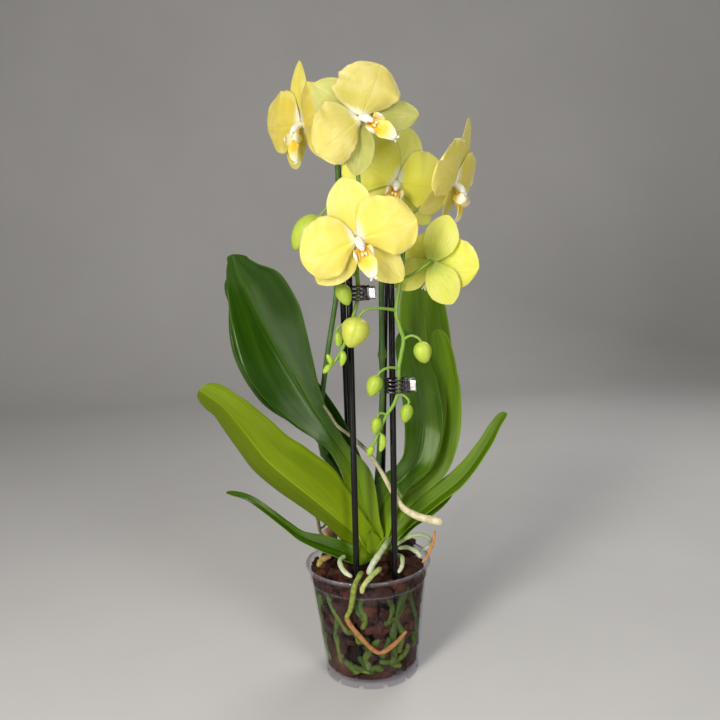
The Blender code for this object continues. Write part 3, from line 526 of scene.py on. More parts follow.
LEAVES = {
    "leaf_left_upper": {
        "stations": [
            (0, -8, 152, 8, 8), (-6, -9, 193, 10, 11), (-21, -7, 221, 10, 9),
            (-32, -5, 239, 14, 10), (-44, -2, 256, 22, 14), (-54, 1, 273, 29, 19),
            (-66, 4, 296, 35, 28), (-78, 6, 320, 35, 37), (-90, 6, 346, 28, 44),
            (-101, 4, 374, 19, 42), (-107, 1, 389, 12, 33), (-110, -1, 401, 6, 18),
            (-111, -2, 407, 2, 2),
        ],
        "face": ((0.1, -0.85, 0.5), (-0.2, -0.97, 0.15)), "fold": (10, 24), "kind": "deep",
    },
    "leaf_left_back": {
        "stations": [
            (-3, 12, 150, 6, 6), (-13, 20, 190, 10, 9), (-28, 26, 232, 20, 14),
            (-45, 27, 262, 33, 14), (-62, 26, 290, 44, 14), (-80, 24, 330, 44, 20),
            (-97, 20, 370, 25, 20), (-106, 17, 394, 2, 2),
        ],
        "face": ((0.0, -0.95, 0.3), (-0.2, -0.97, 0.1)), "fold": (6, 8), "kind": "deep",
    },
    "leaf_left_front": {
        "stations": [
            (-4, -13, 134, 9, 9), (-24, -26, 158, 14, 23), (-46, -33, 182, 18, 33),
            (-70, -39, 206, 20, 33), (-88, -42, 226, 21, 29), (-104, -43, 250, 20, 24),
            (-122, -44, 275, 15, 16), (-142, -45, 291, 2, 2),
        ],
        "face": ((0.3, -0.9, 0.35), (0.15, -0.85, 0.5)), "fold": (-58, 4), "kind": "fresh",
    },
    "leaf_left_low": {
        "stations": [
            (-10, -18, 119, 5, 5), (-26, -22, 128, 8, 8), (-42, -25, 136, 9, 9),
            (-60, -28, 145, 6, 6), (-74, -29, 157, 5, 5), (-88, -30, 170, 4.5, 4.5),
            (-107, -30, 185, 4, 4), (-127, -30, 192, 1.5, 1.5),
        ],
        "face": ((0.2, -0.75, 0.6), (0.2, -0.45, 0.85)), "fold": (20, 25), "kind": "rich",
    },
    "leaf_right_inner": {
        "stations": [
            (13, -3, 158, 7, 7), (24, -5, 181, 10, 10), (38, -3, 193, 12, 12),
            (52, 2, 209, 15, 16), (58, 7, 236, 18, 19), (57, 8, 262, 18, 19),
            (52, 8, 292, 15, 16), (43, 6, 330, 2, 2),
        ],
        "face": ((0.0, -0.97, 0.2), (-0.25, -0.95, 0.05)), "fold": (14, 10), "kind": "rich",
    },
    "leaf_right_outer": {
        "stations": [
            (16, 3, 147, 7, 7), (34, 9, 170, 10, 9), (54, 13, 182, 13, 13),
            (69, 16, 198, 15, 15), (78, 18, 224, 16, 16), (82, 19, 252, 16, 15),
            (81, 18, 286, 13, 13), (75, 16, 328, 2, 2),
        ],
        "face": ((0.0, -0.95, 0.3), (-0.3, -0.93, 0.1)), "fold": (14, 14), "kind": "mid",
    },
    "leaf_right_back": {
        "stations": [
            (16, 11, 143, 7, 7), (34, 20, 163, 10, 10), (58, 42, 176, 15, 14),
            (71, 62, 216, 22, 20), (72, 78, 268, 27, 25), (69, 88, 319, 27, 26),
            (67, 94, 364, 20, 20), (65, 96, 402, 2, 2),
        ],
        "face": ((0.0, -0.9, 0.45), (-0.2, -0.97, 0.15)), "fold": (16, 16), "kind": "mid",
    },
    "leaf_right_low": {
        "stations": [
            (19, -11, 128, 5, 5), (37, -6, 145, 10, 9), (68, 4, 165, 12, 11),
            (91, 8, 181, 12, 11), (106, 12, 196, 11, 10), (119, 16, 213, 9, 9),
            (131, 20, 232, 7, 7), (140, 22, 243, 1.5, 1.5),
        ],
        "face": ((-0.3, -0.6, 0.75), (-0.6, -0.5, 0.6)), "fold": (25, 25), "kind": "mid",
    },
    "leaf_right_short": {
        "stations": [
            (22, 9, 126, 5, 5), (40, 13, 141, 7, 7), (58, 17, 149, 8, 8),
            (74, 20, 158, 6, 6), (86, 24, 170, 2, 2),
        ],
        "face": ((0.0, -0.8, 0.6), (-0.2, -0.8, 0.55)), "fold": (14, 14), "kind": "mid",
    },
}


def with_crown(stations):
    """The stations carried down to the short stem, with a broad clasping foot."""
    first = np.array(stations[0], float)
    heart = np.array([6.0, 0.0, 118.0, 8.0, 8.0])
    low = heart + (first - heart) * 0.5
    low[3:] = 11.0
    grown = np.vstack([heart, low, np.array(stations, float)])
    foot = 15.0 if grown[:, 3:].max() > 15 else 10.0
    grown[1:4, 3:] = np.maximum(grown[1:4, 3:], foot)
    return grown


def build_leaf(name, blade, material, seed):
    rows = through(with_crown(blade["stations"]), 12)
    last = np.linspace(0, 1, 13)[:, None]
    rows[-13:, 3:] = np.maximum(rows[-13, 3:] * np.sqrt(np.clip(1 - last**2.2, 0, 1)), 0.5)
    count, columns = len(rows), 25
    u = np.linspace(0, 1, count)[:, None]
    s = np.linspace(-1, 1, columns)[None, :]
    base, tip = (unit(np.array(v, float)) for v in blade["face"])
    ahead = unit(np.gradient(rows[:, :3], axis=0))
    side = unit(np.cross(ahead, base + (tip - base) * u))
    facing = np.cross(side, ahead)
    width = np.where(s < 0, rows[:, 3:4], rows[:, 4:5])
    fold = np.radians(np.where(s < 0, blade["fold"][0], blade["fold"][1]))
    clasp = 1 - smoothstep(u, 0.02, 0.34)
    fold = fold * (1 - clasp) + np.radians(46) * clasp
    wave = 0.6 * np.abs(s) ** 3 * np.sin(2 * np.pi * (u * 3.1 + seed * 0.37) + np.sign(s) * 1.3)
    wave = wave + 0.35 * np.abs(s) ** 2 * np.sin(2 * np.pi * (u * 7.3 + seed * 0.61))
    groove = -0.9 * np.exp(-((s / 0.07) ** 2)) * smoothstep(1 - u, 0.02, 0.3)
    ripple = (wave + groove) * np.minimum(width / 14, 1) * smoothstep(1 - u, 0, 0.1)
    bow = width * np.abs(s) ** 1.3 * np.sin(fold) + ripple
    points = (
        rows[:, None, :3]
        + side[:, None] * (width * s * np.cos(fold))[..., None]
        + facing[:, None] * bow[..., None]
    )
    thick = (0.35 + 0.65 * (1 - np.abs(s) ** 2)) * np.minimum(0.35 + 2.5 * (1 - u), 1) + 0 * u
    assemble(name, [sheet(points, thick)], [material], node=name)


# ---- roots: x, y, z, radius

ROOTS = {
    "root_aerial_long": [
        (-35, -9, 265, 1.0), (-29, -14, 257, 1.3), (-22, -20, 247, 1.5), (-8, -24, 236, 1.7),
        (5, -25, 222, 2.0), (16, -27, 204, 2.2), (25, -30, 186, 2.5), (34, -31, 171, 3.2),
        (46, -33, 163, 3.6), (58, -36, 160, 3.7), (70, -37, 157, 3.2),
    ],
    "root_front_thick": [
        (20, -12, 133, 2.4), (19, -21, 134, 2.8), (12, -32, 129, 3.0), (4, -43, 122, 3.1),
        (0, -50, 115, 2.8),
    ],
    "root_over_rim": [
        (11, -44, 118, 2.2), (8, -51, 119, 2.4), (1, -59, 116, 2.4), (-5, -64.5, 111, 2.3),
        (-7, -64, 104, 2.0),
    ],
    "root_outside": [
        (-6, -50, 118, 2.2), (-9, -58, 117, 2.4), (-13, -63, 111, 2.4), (-15, -61, 100, 2.3),
        (-18, -56, 85, 2.2), (-21, -53, 74, 2.2), (-9, -53.8, 56, 2.0), (6, -51.8, 40, 2.0),
        (20, -49.6, 46, 1.9), (33, -43.9, 56, 1.2),
    ],
    "root_front_left": [
        (-21, -30, 126, 1.9), (-26, -38, 125, 2.1), (-23, -46, 119, 2.2), (-15, -51, 114, 1.8),
    ],
    "root_left_stub": [(-34, -22, 124, 2.4), (-43, -27, 122, 2.6), (-47, -31, 117, 2.2)],
    "root_right_front": [
        (27, -24, 122, 1.9), (31.5, -31, 123, 2.0), (31, -41, 119, 1.9), (27, -46, 114, 1.7),
    ],
    "root_right_short": [
        (29, -12, 124, 1.9), (38, -11, 124, 2.0), (47, -12, 119, 2.0), (50, -13, 114, 1.7),
    ],
    "root_orange_thin": [
        (64, -17, 142, 1.1), (62, -16, 130, 1.4), (57, -16, 118, 1.3), (51, -16, 110, 1.0),
    ],
    "root_right_loop": [
        (27, -19, 130, 1.8), (38, -21, 138, 2.0), (50, -18, 139, 2.0), (59, -12, 132, 1.9),
        (60, -2, 122, 1.8), (50, 3, 113, 1.6),
    ],
    "root_left_tangle": [
        (-79, 22, 172, 1.0), (-72, 21, 171, 1.2), (-66, 20, 163, 1.4), (-57, 18, 163, 1.5),
        (-50, 14, 160, 1.5), (-47, 10, 148, 1.6), (-44, 6, 134, 1.6), (-36, 4, 124, 1.5),
    ],
}
ROOT_KINDS = {
    "root_aerial_long": "cream", "root_front_thick": "silver", "root_over_rim": "green",
    "root_outside": "dried", "root_front_left": "silver", "root_left_stub": "brown",
    "root_right_front": "silver", "root_right_short": "silver", "root_orange_thin": "orange",
    "root_right_loop": "silver", "root_left_tangle": "olive",
}


def gnarl(seed, size=0.10):
    """Radius scale for a root: slow swelling, small knobs and a slightly oval section."""
    phase = np.random.default_rng(seed).uniform(0, 6.28, 8)

    def scale(along, angle):
        value = 1 + size * 0.6 * np.sin(along * 19 + phase[0]) + size * 0.4 * np.sin(along * 47 + phase[1])
        value = value + size * 0.5 * np.sin(2 * angle + phase[2] + along * 3)
        value = value + size * 0.35 * np.sin(3 * angle + phase[3] + along * 31)
        return value + size * 0.25 * np.sin(5 * angle + phase[4]) * np.sin(along * 83 + phase[5])

    return scale


def rounded_ends(rows, reach=2.0):
    """Rows with the radius drawn in at both ends, so that the tube closes in a rounded tip."""
    rows = np.array(rows, float)
    step = lengths(rows)
    near = np.minimum(step, step[-1] - step)
    span = np.maximum(rows[:, 3] * reach * 0.6, 1e-6)
    rows[:, 3] *= np.sqrt(np.clip(1 - (1 - np.clip(near / span, 0, 1)) ** 2, 0.02, 1))
    return rows


SIDE_STRANDS = {
    "root_left_tangle": [
        [(-52, 15, 161, 1.1), (-43, 15, 167, 1.4), (-37, 15, 160, 1.4), (-37, 14, 149, 1.4),
         (-41, 11, 141, 1.3), (-46, 9, 139, 0.9)],
        [(-64, 19, 163, 1.0), (-62, 18, 170, 1.2), (-56, 17, 172, 1.1), (-51, 16, 168, 0.8)],
    ],
}


def build_root(name, points, material, seed):
    strands = [points, *SIDE_STRANDS.get(name, [])]
    lumps = []
    for i, rows in enumerate(strands):
        lumps.append(tube(rounded_ends(through(rows, 14)), 18, swell=gnarl(seed + i)))
    assemble(name + "_grown", lumps, [material], node=name)


# ---- flower spikes: x, y, z, radius; shoots end in a bud or behind a flower

SPIKE_LEFT = [
    (3, 2, 149, 2.6), (-6, 6, 167, 2.6), (-22, 12, 188, 2.6), (-38, 15, 212, 2.6),
    (-41, 15, 235, 2.6), (-37, 14, 268, 2.5), (-28, 11, 318, 2.5), (-16, 6, 378, 2.4),
    (-10, 5, 424, 2.3), (-10, 9, 450, 2.2), (-12, 9, 474, 2.2), (-10, 2, 490, 2.1),
    (-3, -9, 499, 2.1), (2, -18, 497, 2.1), (5, -25, 487, 2.0), (6, -29, 472, 2.0),
    (6, -32, 450, 1.9), (4, -36, 420, 1.9), (1.5, -39.5, 390, 1.8), (1.5, -39.5, 368, 1.8),
    (-5, -46, 346, 1.7), (-14, -47, 323, 1.6), (-23, -46, 310, 1.5), (-31, -45, 303, 1.0),
]
SPIKE_RIGHT = [
    (6, 6, 148, 2.6), (9, 9, 163, 2.6), (14, 13, 200, 2.6), (20, 13, 263, 2.6),
    (22, 12, 321, 2.5), (24, 11, 386, 2.4), (28, 15, 415, 2.3), (34, 17, 433, 2.2),
    (38.5, 8, 437, 2.1), (41.5, -6, 434, 2.0), (43, -20, 424, 2.0), (43, -31, 408, 2.0),
    (39, -39, 381, 1.9), (34, -43, 354, 1.9), (36, -43, 341, 1.9), (39.5, -41, 328, 1.8),
    (37, -40, 314, 1.8), (34.5, -39.5, 302, 1.8), (34.5, -38.5, 291, 1.7),
    (34, -39, 283, 1.7), (29, -44, 271, 1.6), (23, -46, 263, 1.6), (19, -46, 256, 1.5),
    (13, -46, 243, 1.4), (8, -46, 233, 1.3), (5, -46, 227, 1.0),
]
# Pedicel points, then the bud as start, middle, end and widest radius, or None.
SHOOTS_LEFT = [
    ([(4, -27, 460), (-10, -26, 456), (-25, -22, 442), (-32, -21, 435)],
     ((-30, -21, 437), (-42, -20, 424), (-53, -20, 409), 11.5)),
    ([(1, -40, 384), (-3, -45, 387), (-9, -50, 387), (-13, -53, 383), (-12.6, -54, 379)],
     ((-12.6, -54, 379.5), (-10.4, -54, 371), (-7, -54, 361), 6.9)),
    ([(-6, -46, 345), (-13, -47, 344), (-18, -47, 340), (-17, -47, 337)],
     ((-17.2, -47, 338), (-17, -47, 331), (-18, -47, 324.5), 3.8)),
    ([(-15, -47, 322), (-14, -49, 319)], ((-14, -48.5, 321), (-14, -49, 314.5), (-16, -49, 307.5), 3.2)),
    ([(-24, -46, 309), (-25, -47, 311)], ((-24, -46.5, 309), (-25.5, -48, 314), (-28, -49, 318.5), 2.7)),
    ([(-26, -45.5, 307.5), (-28, -45, 305.5)],
     ((-25.5, -45.5, 309), (-28.5, -45.5, 305), (-32, -45, 301.5), 3.0)),
    ([(4, -24, 491), (7, -33, 503), (9, -41, 514), (9.3, -44.4, 515.7)], None),
    ([(-12, 6, 483), (-15, 19, 498), (-26, 27, 514), (-36, 20, 520), (-39.3, 17.3, 520.3)], None),
    ([(3, -38, 402), (2, -55, 406), (2, -70, 414), (2.75, -80.0, 417.2)], None),
]
SHOOTS_RIGHT = [
    ([(34, -43, 354), (20, -52, 357), (8, -58, 357), (2, -60, 352), (1, -61, 349)],
     ((1, -61, 351), (-2.5, -61, 339.5), (-8, -61, 325.5), 12.2)),
    ([(39, -41, 328), (46, -43, 331), (52, -45, 329), (55, -46, 325)],
     ((54.8, -46, 326), (55.8, -46, 316.5), (57.8, -46, 306.5), 7.9)),
    ([(35, -40, 302), (25, -46, 304), (18, -48, 301), (15, -48, 297)],
     ((15.2, -48, 298), (12.2, -48, 289), (8.2, -48, 279.5), 7.1)),
    ([(33, -41, 279), (38, -46, 278.5), (42, -48, 274), (41, -48, 270)],
     ((41.3, -48, 271), (39.4, -48, 263), (37, -48, 254.5), 5.6)),
    ([(22, -46, 262), (16, -48, 264), (13.5, -50, 260)],
     ((13.6, -50, 261), (12.3, -50, 254), (10.5, -50, 246), 4.8)),
    ([(15, -46, 247), (18, -48, 243)], ((17.5, -47.5, 245), (17.6, -48, 237), (15, -48, 229), 3.3)),
    ([(8, -46, 233), (7, -46, 231)], ((8.5, -46, 234.5), (6.4, -46, 229.5), (3.8, -46, 224.5), 3.4)),
    ([(34, 17, 434), (39, 24, 449), (40, 18, 461), (39.7, 11.5, 463.7)], None),
    ([(43, -12, 430), (62, -13, 443), (80, -8.5, 461), (87, -10.6, 462.2)], None),
    ([(39, -39, 381), (48, -49, 384), (61, -52, 393), (65, -45.2, 395)], None),
]


def bud_ridge(around, spread):
    """High at the three seams where a bud's sepals meet, and 0 between them."""
    crest = np.abs(((around * 3 / (2 * np.pi)) % 1) - 0.5) * 2
    return np.exp(-(((1 - crest) / spread) ** 2))


def bud_swell(along, around):
    return 1 + 0.05 * np.cos(3 * around) - 0.05 * bud_ridge(around, 0.10) * np.sin(np.pi * along)


def stalk_swell(along, around):
    return 1 + 0.06 * np.cos(6 * around)


def ripeness(radius):
    """Yellow share of a bud: big ones are ripe, but the one behind the front flower is still green."""
    return 0.4 if 10 < radius < 12 else float(np.clip((radius - 6) / 5, 0, 1))


def build_spike(name, path, shoots, yellowing, material, joints):
    rows = through(path, 14)
    count = len(rows)
    u = np.linspace(0, 1, count)
    for at in joints:
        ring, collar = np.exp(-(((u - at) * 190) ** 2)), np.exp(-(((u - at - 0.006) * 90) ** 2))
        rows[:, 3] *= 1 + 0.30 * ring + 0.10 * collar
    shade = smoothstep(u, *yellowing)[:, None]
    lumps = [tube(rounded_ends(rows, 1.0), 16, swell=gnarl(5, 0.02), tone=shade)]
    for at in joints:
        lumps.append(bract(rows, int(at * (count - 1)), shade))
    for stalk, bud in shoots:
        start = rows[np.argmin(np.linalg.norm(rows[:, :3] - np.array(stalk[0]), axis=1)), :3]
        line = through([tuple(start), *stalk[1:]], 12)
        t = np.linspace(0, 1, len(line))
        radius = 1.15 + 0.55 * np.exp(-((t * 7) ** 2))
        if bud is None:
            radius = radius + 0.45 * smoothstep(t, 0.4, 1.0)
        swell = stalk_swell if bud is None else gnarl(3, 0.02)
        lumps.append(tube(np.c_[line, radius], 12, swell=swell, tone=0.95, bud=0.25 * t[:, None]))
        if bud is None:
            continue
        spine = through(bud[:3], 16)
        t = np.linspace(0, 1, len(spine))
        egg = bud[3] * np.clip(np.sin(np.pi * t**0.86), 0, 1) ** 0.74
        egg[[0, -1]] = 0.25
        seam = bud_ridge(np.linspace(0, 2 * np.pi, 30, endpoint=False), 0.14) * np.sin(np.pi * t)[:, None]
        shown = {"bud": 1.0, "tone": 1.0, "ripe": ripeness(bud[3]), "seam": seam}
        lumps.append(tube(np.c_[spine, egg], 30, swell=bud_swell, **shown))
    assemble(name, lumps, [material], node=name)


def bract(rows, at, shade):
    """The small dry scale that wraps a node of the spike."""
    centre, ahead = rows[at, :3], unit(rows[at + 1, :3] - rows[at - 1, :3])
    side = unit(np.cross(ahead, (0.2, 0.9, 0.3)))
    out = np.cross(side, ahead)
    v = np.linspace(0, 1, 9)[:, None]
    s = np.linspace(-1, 1, 9)[None, :]
    turn = s * 1.9 * (1 - v**1.6 * 0.95)
    reach = (rows[at, 3] + 0.35 + 0.9 * v**2)[..., None]
    points = (
        centre + ahead * (v * 9.0)[..., None]
        + reach * (np.cos(turn)[..., None] * out + np.sin(turn)[..., None] * side)
    )
    return sheet(points, np.full((9, 9), 0.22), tone=0.8, bud=0.25)


def sheath(azimuth, radius, height, spread):
    """The clasping foot of an old leaf, wrapped round the stem."""
    v = np.linspace(0, 1, 14)[:, None]
    s = np.linspace(-1, 1, 15)[None, :]
    turn = math.radians(azimuth) + math.radians(spread) * s * (1 - 0.85 * v**2.5)
    reach = radius * (1 + 0.35 * v**2) + 0.4 * np.cos(5 * s + azimuth)
    z = 112 + height * (v + 0.06 * np.cos(3 * s) * v)
    grid = np.stack([6 + reach * np.cos(turn), 1 + reach * np.sin(turn), z], -1)
    return sheet(grid, np.full(grid.shape[:2], 0.6), 1, tone=0.0, along=0.12 * v)


def build_stem_base(materials):
    """The short stem, with the feet of old leaves round it."""
    stump = [
        (6, 2, 112, 6.0), (6, 2, 118, 9.0), (6, 2, 130, 9.0), (6, 2, 139, 7.5), (6, 2, 145, 4.5), (6, 2, 146, 0.6),
    ]
    lumps = [tube(through(stump, 8), 30, tone=0.8)]
    for foot in (
        (-95, 11.5, 30, 62), (-30, 12.5, 26, 58), (-160, 12.0, 25, 58), (60, 12.0, 26, 70), (140, 12.5, 24, 60),
    ):
        lumps.append(sheath(*foot))
    assemble("stem_base_grown", lumps, materials, node="stem_base")


# ---- flowers: centre, facing, up, then angle, length, half width and lift of each tepal

FLOWERS = {
    "flower_front": {
        "centre": (3, -83.5, 417), "facing": (0.08, -0.99, -0.05), "up": (-0.19, 0, 0.98),
        "sepals": [(0, 51, 19, -3), (145, 52, 15, -3), (-126, 49, 16, -3)],
        "petals": [(84, 51, 26, 3), (-99, 49, 25, 3)], "kind": "cream", "lip": 8,
    },
    "flower_top": {
        "centre": (10, -48, 516), "facing": (0.22, -0.96, 0.08), "up": (-0.81, 0, 0.59),
        "sepals": [(0, 48, 19, -3), (138, 54, 14, -3), (-122, 46, 14, -3)],
        "petals": [(77, 48, 28, 4), (-72, 48, 24, 3)], "kind": "pale", "lip": 0,
    },
    "flower_left": {
        "centre": (-42, 15, 520), "facing": (-0.75, -0.64, -0.10), "up": (-0.10, 0, 0.99),
        "sepals": [(0, 56, 12, -2), (132, 50, 15, -2), (-132, 50, 15, -2)],
        "petals": [(84, 52, 27, 3), (-82, 54, 28, 3)], "kind": "amber", "lip": 0,
    },
    "flower_middle": {
        "centre": (40, 8, 464), "facing": (0.10, -0.98, 0.10), "up": (0.33, 0, 0.95),
        "sepals": [(0, 54, 17, -4), (122, 48, 14, -6), (-124, 48, 14, -6)],
        "petals": [(80, 50, 28, 3), (-76, 52, 29, 3)], "kind": "lime", "lip": 0,
    },
    "flower_right": {
        "centre": (90, -12, 461), "facing": (0.85, -0.40, -0.35), "up": (0.39, 0.02, 0.92),
        "sepals": [(0, 58, 16, -2), (132, 50, 15, -3), (-132, 50, 15, -3)],
        "petals": [(82, 52, 27, 3), (-82, 55, 28, 3)], "kind": "cream", "lip": 0,
    },
    "flower_behind": {
        "centre": (66, -42, 394), "facing": (0.30, 0.90, -0.30), "up": (0.43, 0.15, 0.89),
        "sepals": [(0, 42, 16, -2), (137, 42, 14, 16), (-130, 44, 15, -2)],
        "petals": [(62, 40, 20, 30), (-80, 42, 21, 3)], "kind": "lime", "lip": 0,
    },
}


def flower_matrix(flower):
    out = Vector(flower["facing"]).normalized()
    up = Vector(flower["up"])
    up = (up - out * up.dot(out)).normalized()
    turn = Matrix((up.cross(out), up, out)).transposed().to_4x4()
    return Matrix.Translation(flower["centre"]) @ turn


def petal_width(u, s):
    """Half width along a petal: a narrow claw, then broad soonest on the side of the top sepal."""
    lean = np.tanh(3 * s)
    widest = 0.52 - 0.13 * lean
    rise = 0.13 + 0.87 * np.sin(np.pi / 2 * np.clip(u / widest, 0, 1)) ** (1.1 - 0.3 * lean)
    fall = np.clip(1 - (np.clip(u - widest, 0, 1) / (1 - widest)) ** 2.4, 0.0, 1) ** 0.5
    return (1 + 0.14 * lean) * np.where(u < widest, rise, np.maximum(fall, 0.06))


def sepal_width(u, s):
    widest = 0.52
    rise = 0.24 + 0.76 * np.sin(np.pi / 2 * np.clip(u / widest, 0, 1))
    fall = np.clip(1 - ((u - widest) / (1 - widest)) ** 2, 0.0, 1) ** 0.62
    return np.where(u < widest, rise, np.maximum(fall, 0.05)) + 0 * s


def build_tepal(tepal, width_of, plane, rng, petal, frill=1.0):
    angle, length, half_width, lift = tepal
    a, rise = math.radians(angle), math.radians(lift)
    out = np.array([math.sin(a), math.cos(a), 0.0])
    across = np.array([out[1], -out[0], 0.0])
    rows, columns = 46, 33
    v = np.linspace(0, 1, rows)
    u = (1 - (1 - v) ** 1.55)[:, None]
    s = np.linspace(-1, 1, columns)[None, :]
    phase = rng.uniform(0, 2 * np.pi, 8)
    hand = np.tanh(4 * s)
    rugged = 1 + 0.030 * np.sin(7 * u + phase[0] + 2 * hand) + 0.018 * np.sin(17 * u + phase[1] + 3 * hand)
    rugged = rugged + 0.010 * np.sin(41 * u + phase[5] + 5 * hand) + 0.006 * np.sin(83 * u + phase[6])
    width = half_width * width_of(u, -np.sign(angle) * s) * (1 + (frill if petal else 0.5) * (rugged - 1))
    reach = 1.5 + (length - 1.5) * u
    reach = reach - 0.09 * np.abs(s) ** 4 * width
    drift = rng.uniform(-1, 1) * 1.2 * u**2
    if petal:
        z = 3.0 * np.sin(np.pi * u**0.9) - 4.2 * u**2.4 - 3.8 * s**2 * width / 28
        ruffle = np.sin(2 * np.pi * 1.9 * u + phase[2] + 1.7 * np.sign(s))
        z = z + 1.7 * frill * np.abs(s) ** 3 * ruffle * u**0.5
        z = z + 0.42 * np.abs(s) ** 2 * np.sin(2 * np.pi * 4.7 * u + phase[3] + s * 2)
        z = z - 0.75 * np.exp(-((s / 0.06) ** 2)) * (1 - 0.8 * u)
        z = z + 0.30 * np.sin(s * 9 + phase[7]) * np.exp(-1.6 * u) * u**0.3
        z = z + 0.9 * np.sin(2.6 * u + phase[5]) * np.sin(2.2 * s + phase[6]) * u
    else:
        z = 1.2 * np.sin(np.pi * u) - 4.2 * u**2.6 + 1.3 * s**2 * width / 18 - 1.0 * (1 - u) * s**2
        z = z + 0.6 * np.abs(s) ** 3 * np.sin(2 * np.pi * 1.5 * u + phase[4] + 1.5 * np.sign(s))
        z = z - 0.45 * np.exp(-((s / 0.06) ** 2)) * (1 - u) ** 0.3
    height = plane + reach * math.sin(rise) + z
    points = (
        out * (reach * math.cos(rise))[..., None]
        + across * (width * s + drift)[..., None]
        + np.array([0, 0, 1.0]) * (height + 0 * s)[..., None]
    )
    thick = 0.12 + 0.26 * (1 - np.abs(s) ** 3) * (1 - 0.6 * u)
    return sheet(points, thick * np.ones((rows, columns)), along=u + 0 * s)


def strip(points, widths, curl, up=(0, 0, 1), material=0):
    """A curled sheet along a path: each row bends towards up by curl."""
    line = through([(*p, w, c) for p, w, c in zip(points, widths, curl)], 7)
    s = np.linspace(-1, 1, 17)[None, :]
    ahead = unit(np.gradient(line[:, :3], axis=0))
    side = unit(np.cross(ahead, np.array(up, float)))
    face = np.cross(side, ahead)
    width, turn = line[:, 3:4], line[:, 4:5]
    bend = turn * s
    over = np.where(np.abs(turn) < 1e-6, 1, turn)
    flat = width * np.where(np.abs(bend) < 1e-6, s, np.sin(bend) / over)
    rise = width * np.where(np.abs(turn) < 1e-6, 0, (1 - np.cos(bend)) / over)
    grid = line[:, None, :3] + side[:, None] * flat[..., None] + face[:, None] * rise[..., None]
    thick = 0.2 + 0.35 * (1 - s**2) + 0 * bend
    return sheet(grid, thick, material)


def build_lip(name, matrix, materials, roll, size=1.0):
    turn = Matrix.Rotation(math.radians(roll), 4, "Z") @ Matrix.Scale(size, 4)
    lumps = []
    # the column, its hood and the anther cap
    column = [
        (0, 0.5, 0.5, 2.4), (0, -0.4, 4.5, 2.9), (0, -2.2, 8.5, 3.3), (0, -4.8, 11.6, 3.1), (0, -6.4, 13.0, 1.6),
    ]
    rows = rounded_ends(through(column, 8), 1.0)
    lumps.append(tube(rows, 22, 1, swell=lambda along, around: 1 + 0.08 * np.cos(2 * around) * along))
    cap = [
        (0, -4.2, 12.2, 0.4), (0, -5.3, 13.2, 2.0), (0, -6.8, 13.6, 2.2), (0, -8.3, 13.0, 1.4),
        (0, -8.9, 12.6, 0.4),
    ]
    lumps.append(tube(through(cap, 6), 16, 1))
    # the middle lobe: a keeled blade that runs out to a white point
    lumps.append(
        strip(
            [(0, -5.5, 6.0), (0, -9.0, 8.0), (0, -14.0, 10.5), (0, -19.5, 13.0), (0, -25.0, 14.4),
             (0, -29.0, 14.2), (0, -31.5, 13.4)],
            [3.6, 4.6, 5.8, 8.2, 6.4, 4.4, 2.4], [1.0, 0.9, 0.65, 0.5, 0.6, 0.7, 0.5],
        )
    )
    # the two side lobes stand up beside the column and curve in
    for sign in (-1, 1):
        lumps.append(
            strip(
                [(2.2 * sign, -9.0, 6.5), (5.4 * sign, -10.5, 9.0), (7.8 * sign, -11.0, 12.5),
                 (8.2 * sign, -10.8, 16.0), (6.6 * sign, -10.4, 18.2)],
                [2.4, 4.4, 5.6, 4.8, 1.8], [0.2, 0.35, 0.45, 0.55, 0.5], up=(-sign, 0, 0.01), material=2,
            )
        )
    # the callus in the throat: two small knobs
    for sign in (-1, 1):
        knob = [
            (0.9 * sign, -9.6, 9.3, 0.5), (1.2 * sign, -10.4, 10.9, 1.4), (1.5 * sign, -11.8, 12.4, 1.2),
            (1.7 * sign, -12.8, 13.6, 0.4),
        ]
        lumps.append(tube(through(knob, 6), 12))
    # the two tendrils at the point
    for sign in (-1, 1):
        curl = [
            (0.7 * sign, -30.2, 13.7, 1.0), (1.3 * sign, -32.0, 13.0, 0.8), (2.2 * sign, -33.3, 13.8, 0.6),
            (2.9 * sign, -33.0, 15.2, 0.45), (2.5 * sign, -31.9, 15.9, 0.25),
        ]
        lumps.append(tube(through(curl, 8), 10, 1))
    assemble(f"{name}_lip", lumps, materials, node=f"{name}_lip", matrix=matrix @ turn)


# ---- pot, bark and stakes

POT_HEIGHT, RIM, FOOT, SHOULDER, FLOOR, WALL = 110.5, 60.0, 45.2, 93.0, 8.2, 1.1
WALL_TOP, WALL_FOOT = 55.2, 45.6
DRAINS, DRAIN_RING, DRAIN_RADIUS = 8, 29.0, 3.5
NOTCHES, NOTCH_SIZE = 12, (8.0, 5.0, 7.0)  # across the foot, along it, and twice the height left open


def inner_radius(z):
    """Radius of the wall's inner face."""
    z = np.asarray(z, float)
    low = WALL_FOOT - WALL + (WALL_TOP - WALL_FOOT) * (z - FLOOR) / (SHOULDER - 0.5 - FLOOR)
    high = 55.5 + (z - 95.2) * 0.10
    return np.where(z < 93.5, low, np.minimum(high, 56.4))


def rounded(profile, radius=0.5, steps=3):
    """The closed profile with each corner drawn as a short arc."""
    p = np.array(profile, float)
    found = []
    for before, here, after in zip(np.roll(p, 1, 0), p, np.roll(p, -1, 0)):
        a, b = before - here, after - here
        cut = min(radius, 0.35 * np.linalg.norm(a), 0.35 * np.linalg.norm(b))
        first, last = here + unit(a) * cut, here + unit(b) * cut
        for t in np.linspace(0, 1, steps):
            found.append((1 - t) ** 2 * first + 2 * t * (1 - t) * here + t**2 * last)
    return np.array(found)


